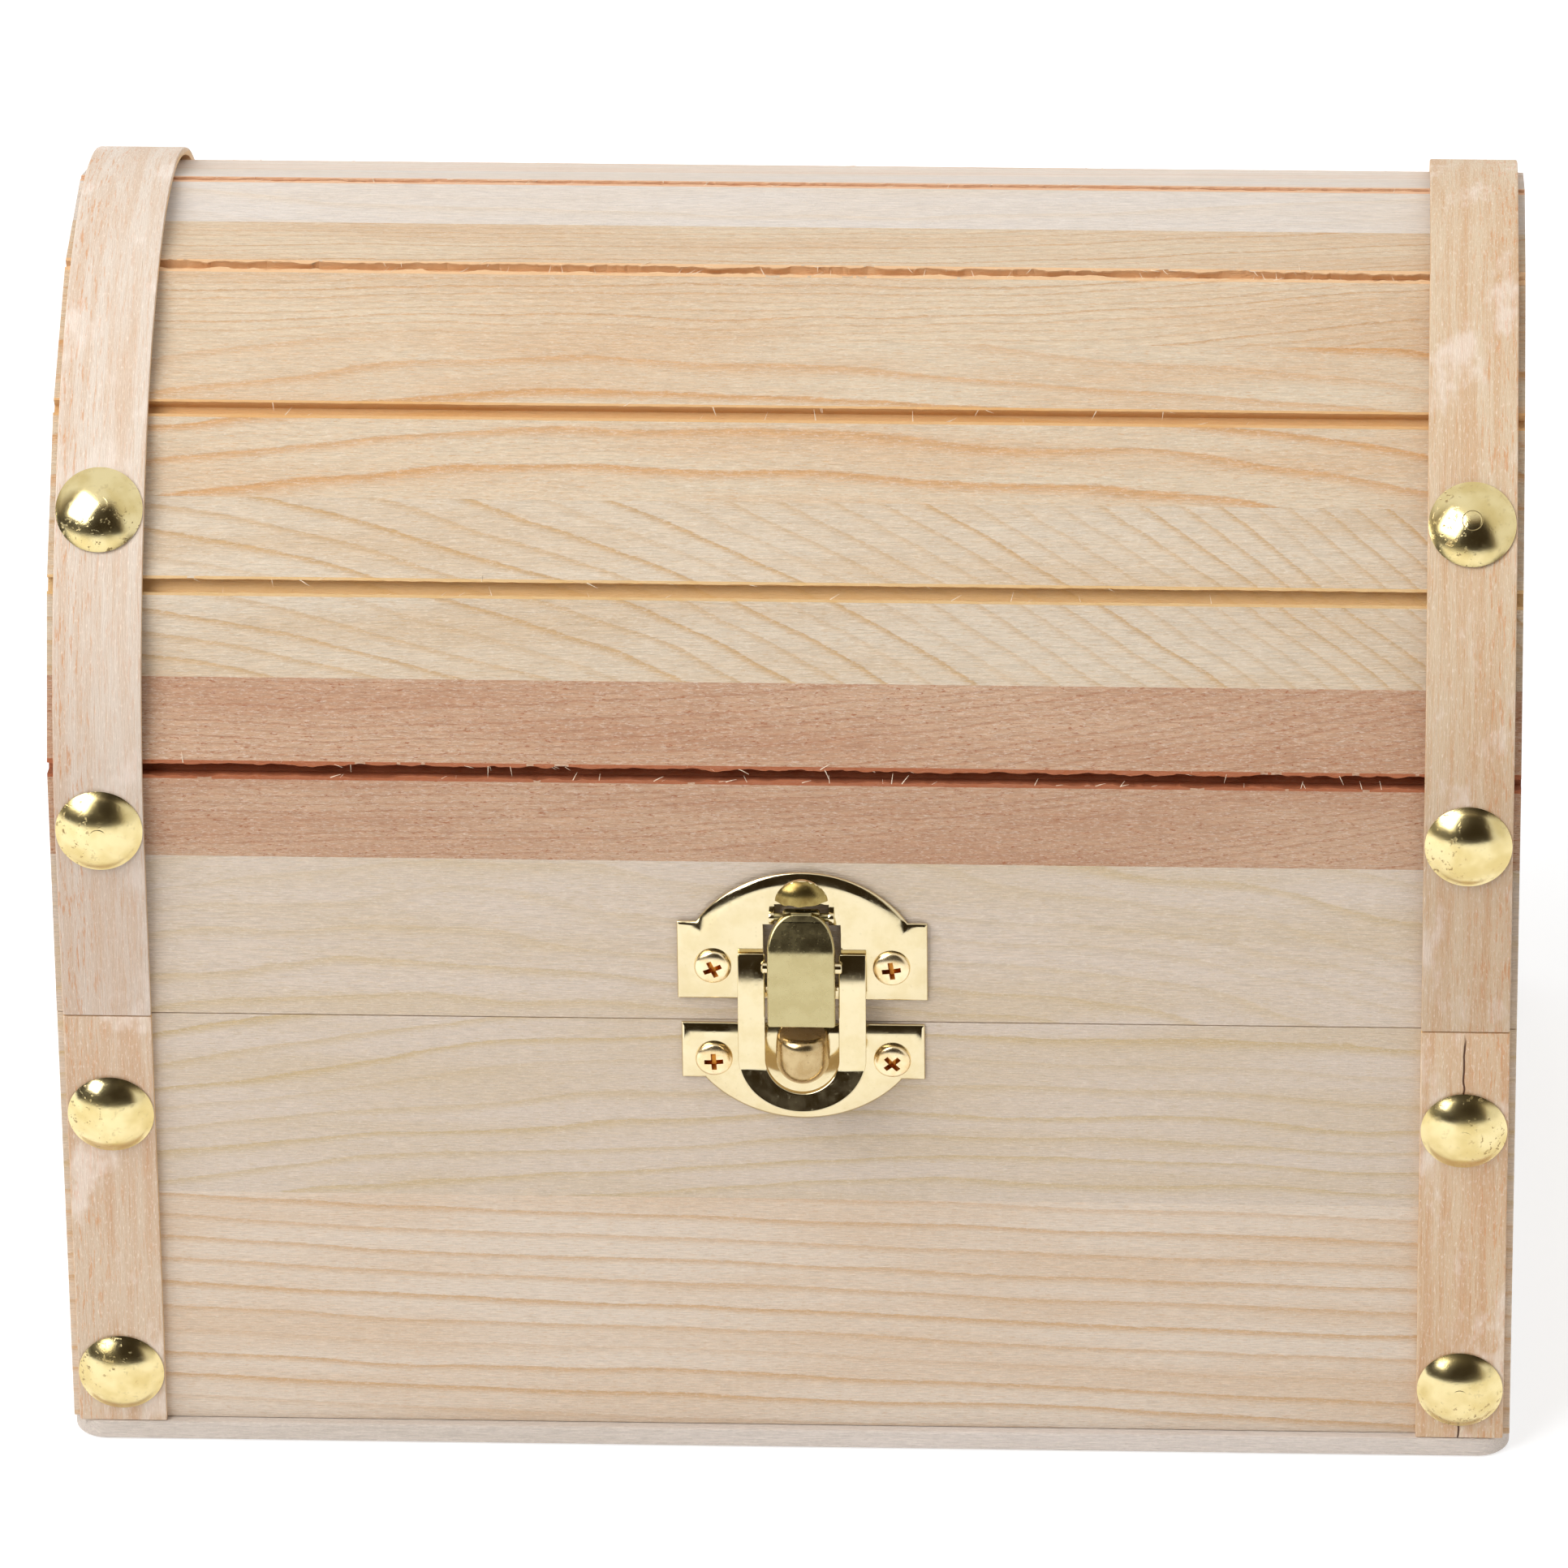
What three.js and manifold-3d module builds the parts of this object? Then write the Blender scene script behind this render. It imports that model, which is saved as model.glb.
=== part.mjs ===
// Wooden money box built as a small treasure chest: a pine box, a domed lid bent from one
// kerf-sawn board, veneer straps held by dome nails, a brass toggle latch and two butt hinges.
// Millimetres, +Z up. The origin is the centre of the bottom board's underside, the front
// faces -Y and the width runs along X. "out" is the distance in front of the front board.
import * as THREE from 'three';
import { mergeVertices } from 'three/addons/utils/BufferGeometryUtils.js';
import Module from 'manifold-3d';

const wasm = await Module();
wasm.setup();

// ---------------------------------------------------------------- driving dimensions

const WIDTH = 180;            // length of every board along X
const DEPTH = 116;            // outside of the front board to outside of the back board
const SEAM_HEIGHT = 62;       // top edge of the box
const SEAM_GAP = 0.4;         // shut line between box and lid
const SPRING_HEIGHT = 84.3;   // height where the lid's straight sides turn into the dome

const WALL = 5;               // front, back and lid board
const END_WALL = 8;           // the two end boards, which take the nails
const BOTTOM = 2.6;           // bottom board
const BOTTOM_OVERHANG = 1.2;  // bottom board past the front and back boards
const BOTTOM_CORNER = 4;      // corner radius of the bottom board
const TOUCH = 0.05;           // glue line between pieces that lie on each other

const KERF_COUNT = 8;         // saw cuts that let the lid board bend
const KERF_FIRST = 12;        // degrees from the front horizontal to the first cut
const KERF_WIDTH = 1.7;
const KERF_DEPTH = 3.4;
const LIP_RISE = 0.65;        // how far the edges beside a cut stand outside the dome radius

const STRAP_WIDTH = 11;
const STRAP_THICKNESS = 1;
const STRAP_INSET = 0.8;      // strap edge to the end of the boards
const STRAP_LIFT = 0.2;       // strap off the edges beside the cuts

const NAIL_RADIUS = 5.35;
const NAIL_DOME = 2.2;
const NAIL_SHANK = 0.8;
const NAIL_BITE = 2.85;       // how deep a nail goes into the end board
const NAIL_CLEARANCE = 0.15;
const NAIL_LIFT = 0.1;        // nail head off the strap
const NAIL_FROM_BOTTOM = 10;  // lower nail above the ground
const NAIL_FROM_SEAM = 14;    // upper nail below the seam
const NAIL_LID_ANGLES = [4.5, 43];  // degrees round the dome, measured from each side

const LATCH_X = 2.2;          // latch centre, a little right of the middle
const PLATE = 0.7;            // latch plate thickness
const PLATE_RIM = 0.6;        // rolled rim above the plate
const PLATE_RIM_WIDTH = 1.5;
const UPPER_HALF_WIDTH = 15.4;
const UPPER_FROM_SEAM = 2.9;  // lower edge of the upper plate above the seam
const UPPER_SIDE = 11;        // height of its straight sides
const UPPER_ARCH_HALF = 13;   // half chord of its arched top
const UPPER_ARCH_RISE = 7.1;
const LOWER_HALF_WIDTH = 15;
const LOWER_FROM_SEAM = 0.2;  // upper edge of the lower plate below the seam
const LOWER_SIDE = 7.9;
const LOWER_ARCH_HALF = 12.2;
const LOWER_ARCH_DROP = 5.8;
const LATCH_SCREW_X = 11;     // screw centres either side of the latch centre
const UPPER_SCREW_RISE = 5.1; // above the upper plate's lower edge
const LOWER_SCREW_DROP = 4.7; // below the lower plate's upper edge

const LEVER_HALF_WIDTH = 4.15;
const LEVER_SHEET = 0.7;
const LEVER_CHEEK = 0.6;
const LEVER_OUT = 4.9;        // front face of the lever
const LEVER_PIVOT_RISE = 12.5; // above the upper plate's lower edge
const LEVER_PIVOT_OUT = 1.5;
const LEVER_KNUCKLE = 1.05;
const LEVER_TAIL = 13.9;      // pivot down to the lever's free end
const LEVER_BEND = 4.2;       // pivot down to where the front face turns back
const LEVER_ARCH = 1.4;       // pivot up to the top of the arched outline
const PIN_RADIUS = 0.55;
const PIN_CLEARANCE = 0.1;
const EAR = 0.7;              // ears that carry the lever pin
const EAR_GAP = 0.25;
const EAR_RADIUS = 1.2;
const HOOD_HALF_WIDTH = 3.9;
const HOOD_OUT = 2.5;
const HOOD_RISE = 3.2;        // hood centre to its top
const HOOD_SHEET = 0.6;

const LOOP_PIVOT_DROP = 6.5;  // lever pivot down to the loop's rod
const LOOP_PIVOT_OUT = 2.7;
const LOOP_ROD = 0.75;
const LOOP_ROD_CLEARANCE = 0.15;
const LOOP_SHEET = 0.7;
const LOOP_HALF_WIDTH = 7.9;
const LOOP_ARM_TOP = 1.4;     // arms above the rod
const LOOP_LIP_DROP = 6.9;    // centre of the round end to its outer edge
const LOOP_FLARE = 18;        // degrees that the lip turns outwards
const LOOP_FLARE_DROP = 2.8;  // centre of the round end to the bend of the lip
const LOOP_CLEARANCE = 0.4;   // between the loop's slot and the nose or the lever

const NOSE_HALF_WIDTH = 4.15;
const NOSE_OUT = 3.3;
const NOSE_STRAIGHT = 3.1;    // nose centre up to its flat top
const NOSE_FROM_TOP = 3;      // lower plate's upper edge down to the nose's round centre
const LOOP_OFF_NOSE = 0.3;    // loop just in front of the nose tip when at rest

const SCREW_HEAD = 2.3;
const SCREW_HEAD_HEIGHT = 1.2;
const SCREW_SHANK = 0.9;
const SCREW_LENGTH = 4.4;
const SCREW_CLEARANCE = 0.15;
const RECESS_WIDTH = 0.6;
const RECESS_LENGTH = 2.6;
const RECESS_DEPTH = 0.6;

const HINGE_X = 45;           // hinge centres either side of the middle
const HINGE_LENGTH = 24;
const HINGE_LEAF = 0.8;
const HINGE_LEAF_HEIGHT = 10;
const HINGE_KNUCKLE = 1.65;
const HINGE_PIN = 0.8;
const HINGE_PIN_CLEARANCE = 0.1;
const HINGE_GAP = 0.25;       // between neighbouring knuckles
const HINGE_SCREW_X = 7.5;
const HINGE_SCREW_DROP = 6.6; // hinge axis to the screws
const HINGE_SCREW_HEAD = 1.9;
const HINGE_SCREW_HEAD_HEIGHT = 0.9;

// ---------------------------------------------------------------- worked-out dimensions

const FRONT = -DEPTH / 2;
const LID_BOTTOM = SEAM_HEIGHT + SEAM_GAP;
const DOME_RADIUS = DEPTH / 2;
const LIP_RADIUS = DOME_RADIUS + LIP_RISE;
const KERF_STEP = (180 - 2 * KERF_FIRST) / (KERF_COUNT - 1);
const FACET_RADIUS = LIP_RADIUS * Math.cos(radians(KERF_STEP / 2));
const INNER_LIP_RADIUS = (FACET_RADIUS - WALL) / Math.cos(radians(KERF_STEP / 2));
const STRAP_X = WIDTH / 2 - STRAP_INSET - STRAP_WIDTH / 2;

const NAIL_LENGTH = STRAP_THICKNESS + LIP_RISE + WALL + NAIL_BITE;

const UPPER_BOTTOM = LID_BOTTOM + UPPER_FROM_SEAM;
const LOWER_TOP = SEAM_HEIGHT - LOWER_FROM_SEAM;
const LEVER_PIVOT_Z = UPPER_BOTTOM + LEVER_PIVOT_RISE;
const EAR_INNER = LEVER_HALF_WIDTH - LEVER_CHEEK - EAR_GAP;
const LOOP_PIVOT_Z = LEVER_PIVOT_Z - LOOP_PIVOT_DROP;
const NOSE_Z = LOWER_TOP - NOSE_FROM_TOP;
const LOOP_END_DROP = LOOP_PIVOT_Z - NOSE_Z;
const LOOP_SLOT_HALF = Math.max(NOSE_HALF_WIDTH, LEVER_HALF_WIDTH) + LOOP_CLEARANCE;
const LOOP_BAR_DROP = LOOP_END_DROP + LOOP_SLOT_HALF;
const LOOP_LEAN = Math.asin(
  (NOSE_OUT + LOOP_OFF_NOSE + LOOP_SHEET / 2 - LOOP_PIVOT_OUT) / LOOP_BAR_DROP,
);
const HINGE_Y = DEPTH / 2 + TOUCH + HINGE_KNUCKLE;
const HINGE_Z = SEAM_HEIGHT + SEAM_GAP / 2;

// ---------------------------------------------------------------- finishes

const FINISHES = {
  pine: { color: 0xd9bd97, roughness: 0.75, metalness: 0 },
  veneer: { color: 0xd2b18e, roughness: 0.7, metalness: 0 },
  brass: { color: 0xd8c285, roughness: 0.25, metalness: 1 },
};

// ---------------------------------------------------------------- helpers

function radians(degrees) {
  return (degrees * Math.PI) / 180;
}

function solid(geometry) {
  const bare = geometry.clone();
  bare.deleteAttribute('normal');
  bare.deleteAttribute('uv');
  const merged = mergeVertices(bare, 1e-4);
  return new wasm.Manifold(new wasm.Mesh({
    numProp: 3,
    vertProperties: new Float32Array(merged.attributes.position.array),
    triVerts: new Uint32Array(merged.index.array),
  }));
}

function geometryOf(manifold) {
  const mesh = manifold.getMesh();
  const geometry = new THREE.BufferGeometry();
  geometry.setAttribute('position', new THREE.BufferAttribute(mesh.vertProperties, 3));
  geometry.setIndex(new THREE.BufferAttribute(mesh.triVerts, 1));
  return geometry;
}

function block(x0, x1, y0, y1, z0, z1) {
  const geometry = new THREE.BoxGeometry(x1 - x0, y1 - y0, z1 - z0);
  return solid(geometry.translate((x0 + x1) / 2, (y0 + y1) / 2, (z0 + z1) / 2));
}

function join(...pieces) {
  return pieces.reduce((whole, piece) => whole.add(piece));
}

function cut(piece, ...tools) {
  return tools.reduce((left, tool) => left.subtract(tool), piece);
}

// A round bar along X.
function barAlongX(radius, x0, x1, y, z, sides = 16) {
  const geometry = new THREE.CylinderGeometry(radius, radius, x1 - x0, sides);
  return solid(geometry.rotateZ(Math.PI / 2).translate((x0 + x1) / 2, y, z));
}

// A (y, z) outline pushed along X.
function extrudeAlongX(points, x0, x1) {
  const shape = new THREE.Shape(points.map(([y, z]) => new THREE.Vector2(y, z)));
  const geometry = new THREE.ExtrudeGeometry(shape, { depth: x1 - x0, bevelEnabled: false });
  const turn = new THREE.Matrix4().makeBasis(
    new THREE.Vector3(0, 1, 0), new THREE.Vector3(0, 0, 1), new THREE.Vector3(1, 0, 0),
  );
  return solid(geometry.applyMatrix4(turn).translate(x0, 0, 0));
}

// An (x, z) outline pushed out of the front from one "out" distance to another.
function extrudeOut(shape, out0, out1, curveSegments = 12) {
  const geometry = new THREE.ExtrudeGeometry(shape, {
    depth: out1 - out0, bevelEnabled: false, curveSegments,
  });
  return solid(geometry.rotateX(Math.PI / 2).translate(0, FRONT - out0, 0));
}

function polygon(points) {
  return new THREE.Shape(points.map(([x, z]) => new THREE.Vector2(x, z)));
}

// Points on a circular arc, angles in radians counted from +first towards +second axis.
function arc(centre0, centre1, radius, from, to, steps) {
  return Array.from({ length: steps + 1 }, (_, i) => {
    const angle = from + ((to - from) * i) / steps;
    return [centre0 + radius * Math.cos(angle), centre1 + radius * Math.sin(angle)];
  });
}

// The point at an angle round the dome: 0 is the front horizontal, 90 the crown, 180 the back.
function onDome(radius, degrees) {
  const angle = radians(degrees);
  return [-radius * Math.cos(angle), SPRING_HEIGHT + radius * Math.sin(angle)];
}

// ---------------------------------------------------------------- scene

const chest = new THREE.Group();
chest.name = 'money_box';

function addMesh(name, manifold, finish, place = null) {
  const mesh = new THREE.Mesh(
    geometryOf(manifold), new THREE.MeshStandardMaterial(FINISHES[finish]),
  );
  mesh.name = name;
  if (place) {
    mesh.position.copy(place.position);
    mesh.rotation.x = place.turn;
  }
  chest.add(mesh);
}

// ---------------------------------------------------------------- nails and screws

// The inside of the lid strap lifts off the straight side and bridges the dome's facets.
function strapRadius(degrees) {
  const fromSide = Math.min(degrees, 180 - degrees);
  const share = Math.min(1, 0.5 + (0.5 * fromSide) / KERF_FIRST);
  return DOME_RADIUS + TOUCH + (LIP_RISE + STRAP_LIFT) * share;
}

// Where each nail sits: the middle of its head's underside, and its turn about X.
function nailPlaces() {
  const places = [];
  for (const [side, sign] of [['left', -1], ['right', 1]]) {
    for (const [end, flip] of [['front', false], ['back', true]]) {
      const x = sign * STRAP_X;
      const faceOut = STRAP_THICKNESS + TOUCH + NAIL_LIFT;
      const heights = [['low', NAIL_FROM_BOTTOM], ['high', SEAM_HEIGHT - NAIL_FROM_SEAM]];
      for (const [level, z] of heights) {
        const y = (flip ? -1 : 1) * (FRONT - faceOut);
        places.push({
          name: `nail_box_${end}_${side}_${level}`,
          position: new THREE.Vector3(x, y, z),
          turn: radians(flip ? -90 : 90),
        });
      }
      for (const [level, fromSide] of [['low', NAIL_LID_ANGLES[0]], ['high', NAIL_LID_ANGLES[1]]]) {
        const degrees = flip ? 180 - fromSide : fromSide;
        const radius = strapRadius(degrees) + STRAP_THICKNESS + NAIL_LIFT;
        const [y, z] = onDome(radius, degrees);
        places.push({
          name: `nail_lid_${end}_${side}_${level}`,
          position: new THREE.Vector3(x, y, z),
          turn: radians(90 - degrees),
        });
      }
    }
  }
  return places;
}

// A dome nail standing on the origin, head up along Z.
function nailBody() {
  const sphere = (NAIL_RADIUS ** 2 + NAIL_DOME ** 2) / (2 * NAIL_DOME);
  const rimAngle = Math.asin(NAIL_RADIUS / sphere);
  const rings = 4;
  const profile = [new THREE.Vector2(0, -NAIL_LENGTH)];
  profile.push(new THREE.Vector2(NAIL_SHANK, -NAIL_LENGTH + 2 * NAIL_SHANK));
  profile.push(new THREE.Vector2(NAIL_SHANK, 0));
  for (let i = 0; i < rings; i += 1) {
    const angle = rimAngle * (1 - i / rings);
    const height = sphere * Math.cos(angle) - (sphere - NAIL_DOME);
    profile.push(new THREE.Vector2(sphere * Math.sin(angle), Math.max(0, height)));
  }
  profile.push(new THREE.Vector2(0, NAIL_DOME));
  return solid(new THREE.LatheGeometry(profile, 14).rotateX(Math.PI / 2));
}

// The hole for a shank, standing on the origin and running down along -Z.
function shankHole(radius, length) {
  const geometry = new THREE.CylinderGeometry(radius, radius, length + 2, 10);
  return solid(geometry.rotateX(Math.PI / 2).translate(0, 0, 1 - length / 2));
}

function placed(manifold, place) {
  const matrix = new THREE.Matrix4().makeRotationX(place.turn).setPosition(place.position);
  return solid(geometryOf(manifold).applyMatrix4(matrix));
}

const NAILS = nailPlaces();

function nailHoles(prefix, side) {
  const hole = shankHole(NAIL_SHANK + NAIL_CLEARANCE, NAIL_LENGTH + 0.3);
  return NAILS.filter(({ name }) => name.startsWith(prefix) && name.includes(side))
    .map((place) => placed(hole, place));
}

// A pan-head screw standing on the origin with a cross recess, head up along Z.
function screwBody(head, height) {
  const edge = height * 0.55;
  const profile = [
    [0, -SCREW_LENGTH], [SCREW_SHANK, -SCREW_LENGTH + 1.2], [SCREW_SHANK, 0], [head, 0],
    [head, edge], [head * 0.8, height * 0.92], [0, height],
  ].map(([r, z]) => new THREE.Vector2(r, z));
  const body = solid(new THREE.LatheGeometry(profile, 12).rotateX(Math.PI / 2));
  const reach = Math.min(RECESS_LENGTH, 1.3 * head) / 2;
  const slot = RECESS_WIDTH / 2;
  const low = height - RECESS_DEPTH;
  return cut(
    body,
    block(-reach, reach, -slot, slot, low, height + 1),
    block(-slot, slot, -reach, reach, low, height + 1),
  );
}

function frontPlace(x, out, z) {
  return { position: new THREE.Vector3(x, FRONT - out, z), turn: radians(90) };
}

function backPlace(x, out, z) {
  return { position: new THREE.Vector3(x, -FRONT + out, z), turn: radians(-90) };
}

const LATCH_SCREWS = [];
for (const [side, sign] of [['left', -1], ['right', 1]]) {
  const x = LATCH_X + sign * LATCH_SCREW_X;
  const out = 2 * TOUCH + PLATE;
  LATCH_SCREWS.push({
    name: `latch_screw_upper_${side}`, ...frontPlace(x, out, UPPER_BOTTOM + UPPER_SCREW_RISE),
  });
  LATCH_SCREWS.push({
    name: `latch_screw_lower_${side}`, ...frontPlace(x, out, LOWER_TOP - LOWER_SCREW_DROP),
  });
}

const HINGE_SCREWS = [];
for (const [side, sign] of [['left', -1], ['right', 1]]) {
  for (const [hand, step] of [['a', -1], ['b', 1]]) {
    const x = sign * HINGE_X + step * HINGE_SCREW_X;
    const out = 2 * TOUCH + HINGE_LEAF;
    HINGE_SCREWS.push({
      name: `hinge_screw_${side}_box_${hand}`, ...backPlace(x, out, HINGE_Z - HINGE_SCREW_DROP),
    });
    HINGE_SCREWS.push({
      name: `hinge_screw_${side}_lid_${hand}`, ...backPlace(x, out, HINGE_Z + HINGE_SCREW_DROP),
    });
  }
}

function screwHoles(screws, part) {
  const hole = shankHole(SCREW_SHANK + SCREW_CLEARANCE, SCREW_LENGTH + 0.3);
  return screws.filter(({ name }) => name.includes(part)).map((place) => placed(hole, place));
}

// ---------------------------------------------------------------- box

function buildBottom() {
  const halfX = WIDTH / 2;
  const halfY = DEPTH / 2 + BOTTOM_OVERHANG;
  const r = BOTTOM_CORNER;
  const corners = [[1, 1, 0], [-1, 1, 90], [-1, -1, 180], [1, -1, 270]];
  const outline = corners.flatMap(([sx, sy, start]) => arc(
    sx * (halfX - r), sy * (halfY - r), r, radians(start), radians(start + 90), 4,
  ));
  const geometry = new THREE.ExtrudeGeometry(polygon(outline), {
    depth: BOTTOM, bevelEnabled: false,
  });
  addMesh('box_bottom', solid(geometry), 'pine');
}

function buildBoxWalls() {
  const low = BOTTOM + TOUCH;
  const halfX = WIDTH / 2;
  const front = block(-halfX, halfX, FRONT, FRONT + WALL, low, SEAM_HEIGHT);
  const back = block(-halfX, halfX, -FRONT - WALL, -FRONT, low, SEAM_HEIGHT);
  const frontNails = [...nailHoles('nail_box_front', ''), ...screwHoles(LATCH_SCREWS, 'lower')];
  const backNails = [...nailHoles('nail_box_back', ''), ...screwHoles(HINGE_SCREWS, 'box')];
  addMesh('box_front', cut(front, ...frontNails), 'pine');
  addMesh('box_back', cut(back, ...backNails), 'pine');
  const inner = DEPTH / 2 - WALL - TOUCH;
  for (const [side, sign] of [['left', -1], ['right', 1]]) {
    const xs = [sign * halfX, sign * (halfX - END_WALL)].sort((a, b) => a - b);
    const end = block(xs[0], xs[1], -inner, inner, low, SEAM_HEIGHT);
    addMesh(`box_end_${side}`, cut(end, ...nailHoles('nail_box', side)), 'pine');
  }
}

function buildBoxStraps() {
  for (const [side, sign] of [['left', -1], ['right', 1]]) {
    for (const [end, way] of [['front', 1], ['back', -1]]) {
      const x0 = sign * STRAP_X - STRAP_WIDTH / 2;
      const faces = [way * (FRONT - TOUCH), way * (FRONT - TOUCH - STRAP_THICKNESS)];
      faces.sort((a, b) => a - b);
      const strap = block(
        x0, x0 + STRAP_WIDTH, faces[0], faces[1], BOTTOM + TOUCH, SEAM_HEIGHT,
      );
      const holes = nailHoles(`nail_box_${end}`, side);
      addMesh(`box_strap_${end}_${side}`, cut(strap, ...holes), 'veneer');
    }
  }
}

// ---------------------------------------------------------------- lid

function kerfAngles() {
  return Array.from({ length: KERF_COUNT }, (_, i) => KERF_FIRST + KERF_STEP * i);
}

// The lid's outline as flat facets: straight sides up from the seam, then from cut to cut.
function lidOutline(lipRadius, halfDepth) {
  return [
    [-halfDepth, LID_BOTTOM],
    ...kerfAngles().map((degrees) => onDome(lipRadius, degrees)),
    [halfDepth, LID_BOTTOM],
  ];
}

function kerfTool(degrees) {
  const geometry = new THREE.BoxGeometry(WIDTH + 2, KERF_WIDTH, 2 * KERF_DEPTH);
  const [y, z] = onDome(LIP_RADIUS, degrees);
  return solid(geometry.rotateX(radians(90 - degrees)).translate(0, y, z));
}

function buildLidBoard() {
  const halfX = WIDTH / 2;
  const outside = extrudeAlongX(lidOutline(LIP_RADIUS, DEPTH / 2), -halfX, halfX);
  const hollow = lidOutline(INNER_LIP_RADIUS, DEPTH / 2 - WALL);
  hollow[0][1] -= 1;
  hollow[hollow.length - 1][1] -= 1;
  const inside = extrudeAlongX(hollow, -halfX - 1, halfX + 1);
  const board = cut(
    outside, inside, ...kerfAngles().map(kerfTool), ...nailHoles('nail_lid', ''),
    ...screwHoles(LATCH_SCREWS, 'upper'), ...screwHoles(HINGE_SCREWS, 'lid'),
  );
  addMesh('lid_board', board, 'pine');
}

function buildLidEnds() {
  const outline = lidOutline(INNER_LIP_RADIUS - TOUCH, DEPTH / 2 - WALL - TOUCH);
  for (const [side, sign] of [['left', -1], ['right', 1]]) {
    const xs = [sign * (WIDTH / 2), sign * (WIDTH / 2 - END_WALL)].sort((a, b) => a - b);
    const end = extrudeAlongX(outline, xs[0], xs[1]);
    addMesh(`lid_end_${side}`, cut(end, ...nailHoles('nail_lid', side)), 'pine');
  }
}

function strapOutline(thickness) {
  const steps = 36;
  const side = DOME_RADIUS + TOUCH + thickness;
  const dome = Array.from({ length: steps + 1 }, (_, i) => {
    const degrees = (180 * i) / steps;
    return onDome(strapRadius(degrees) + thickness, degrees);
  });
  return [[-side, LID_BOTTOM], ...dome, [side, LID_BOTTOM]];
}

function buildLidStraps() {
  const outline = [...strapOutline(STRAP_THICKNESS), ...strapOutline(0).reverse()];
  for (const [side, sign] of [['left', -1], ['right', 1]]) {
    const x0 = sign * STRAP_X - STRAP_WIDTH / 2;
    const strap = extrudeAlongX(outline, x0, x0 + STRAP_WIDTH);
    addMesh(`lid_strap_${side}`, cut(strap, ...nailHoles('nail_lid', side)), 'veneer');
  }
}

// ---------------------------------------------------------------- latch

// A plate outline about the latch centre: straight sides at one level, an arched far edge.
function archedPlate(halfWidth, base, shoulder, archHalf, crest, inset = 0) {
  const rise = Math.abs(crest - shoulder);
  const radius = (archHalf ** 2 + rise ** 2) / (2 * rise);
  const way = Math.sign(crest - shoulder);
  const centre = crest - way * radius;
  const half = Math.asin(archHalf / radius);
  const bow = arc(LATCH_X, centre, radius - inset, Math.PI / 2 - half, Math.PI / 2 + half, 14)
    .map(([x, z]) => [x, centre + way * (z - centre)]);
  return [
    [LATCH_X - halfWidth + inset, base], [LATCH_X + halfWidth - inset, base],
    [LATCH_X + halfWidth - inset, shoulder - way * inset], ...bow,
    [LATCH_X - halfWidth + inset, shoulder - way * inset],
  ];
}

function plateShape(points) {
  const area = THREE.ShapeUtils.area(points.map(([x, z]) => new THREE.Vector2(x, z)));
  return polygon(area < 0 ? [...points].reverse() : points);
}

function leverEars() {
  const y = FRONT - LEVER_PIVOT_OUT;
  return [-1, 1].map((sign) => {
    const xs = [LATCH_X + sign * EAR_INNER, LATCH_X + sign * (EAR_INNER + EAR)];
    xs.sort((a, b) => a - b);
    return join(
      barAlongX(EAR_RADIUS, xs[0], xs[1], y, LEVER_PIVOT_Z),
      block(
        xs[0], xs[1], y, FRONT - TOUCH, LEVER_PIVOT_Z - EAR_RADIUS, LEVER_PIVOT_Z + EAR_RADIUS,
      ),
    );
  });
}

// The pressed hood over the lever's pivot: a thin half dome, open below.
function hood() {
  const base = LEVER_PIVOT_Z + 1.6;
  const dome = (shrink) => {
    const geometry = new THREE.SphereGeometry(1, 16, 8);
    geometry.scale(HOOD_HALF_WIDTH - shrink, HOOD_OUT - shrink, HOOD_RISE - shrink);
    return solid(geometry.translate(LATCH_X, FRONT, base));
  };
  const keep = block(
    LATCH_X - HOOD_HALF_WIDTH - 1, LATCH_X + HOOD_HALF_WIDTH + 1,
    FRONT - HOOD_OUT - 1, FRONT - TOUCH - PLATE / 2, base, base + HOOD_RISE + 1,
  );
  return cut(dome(0).intersect(keep), dome(HOOD_SHEET));
}

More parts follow.
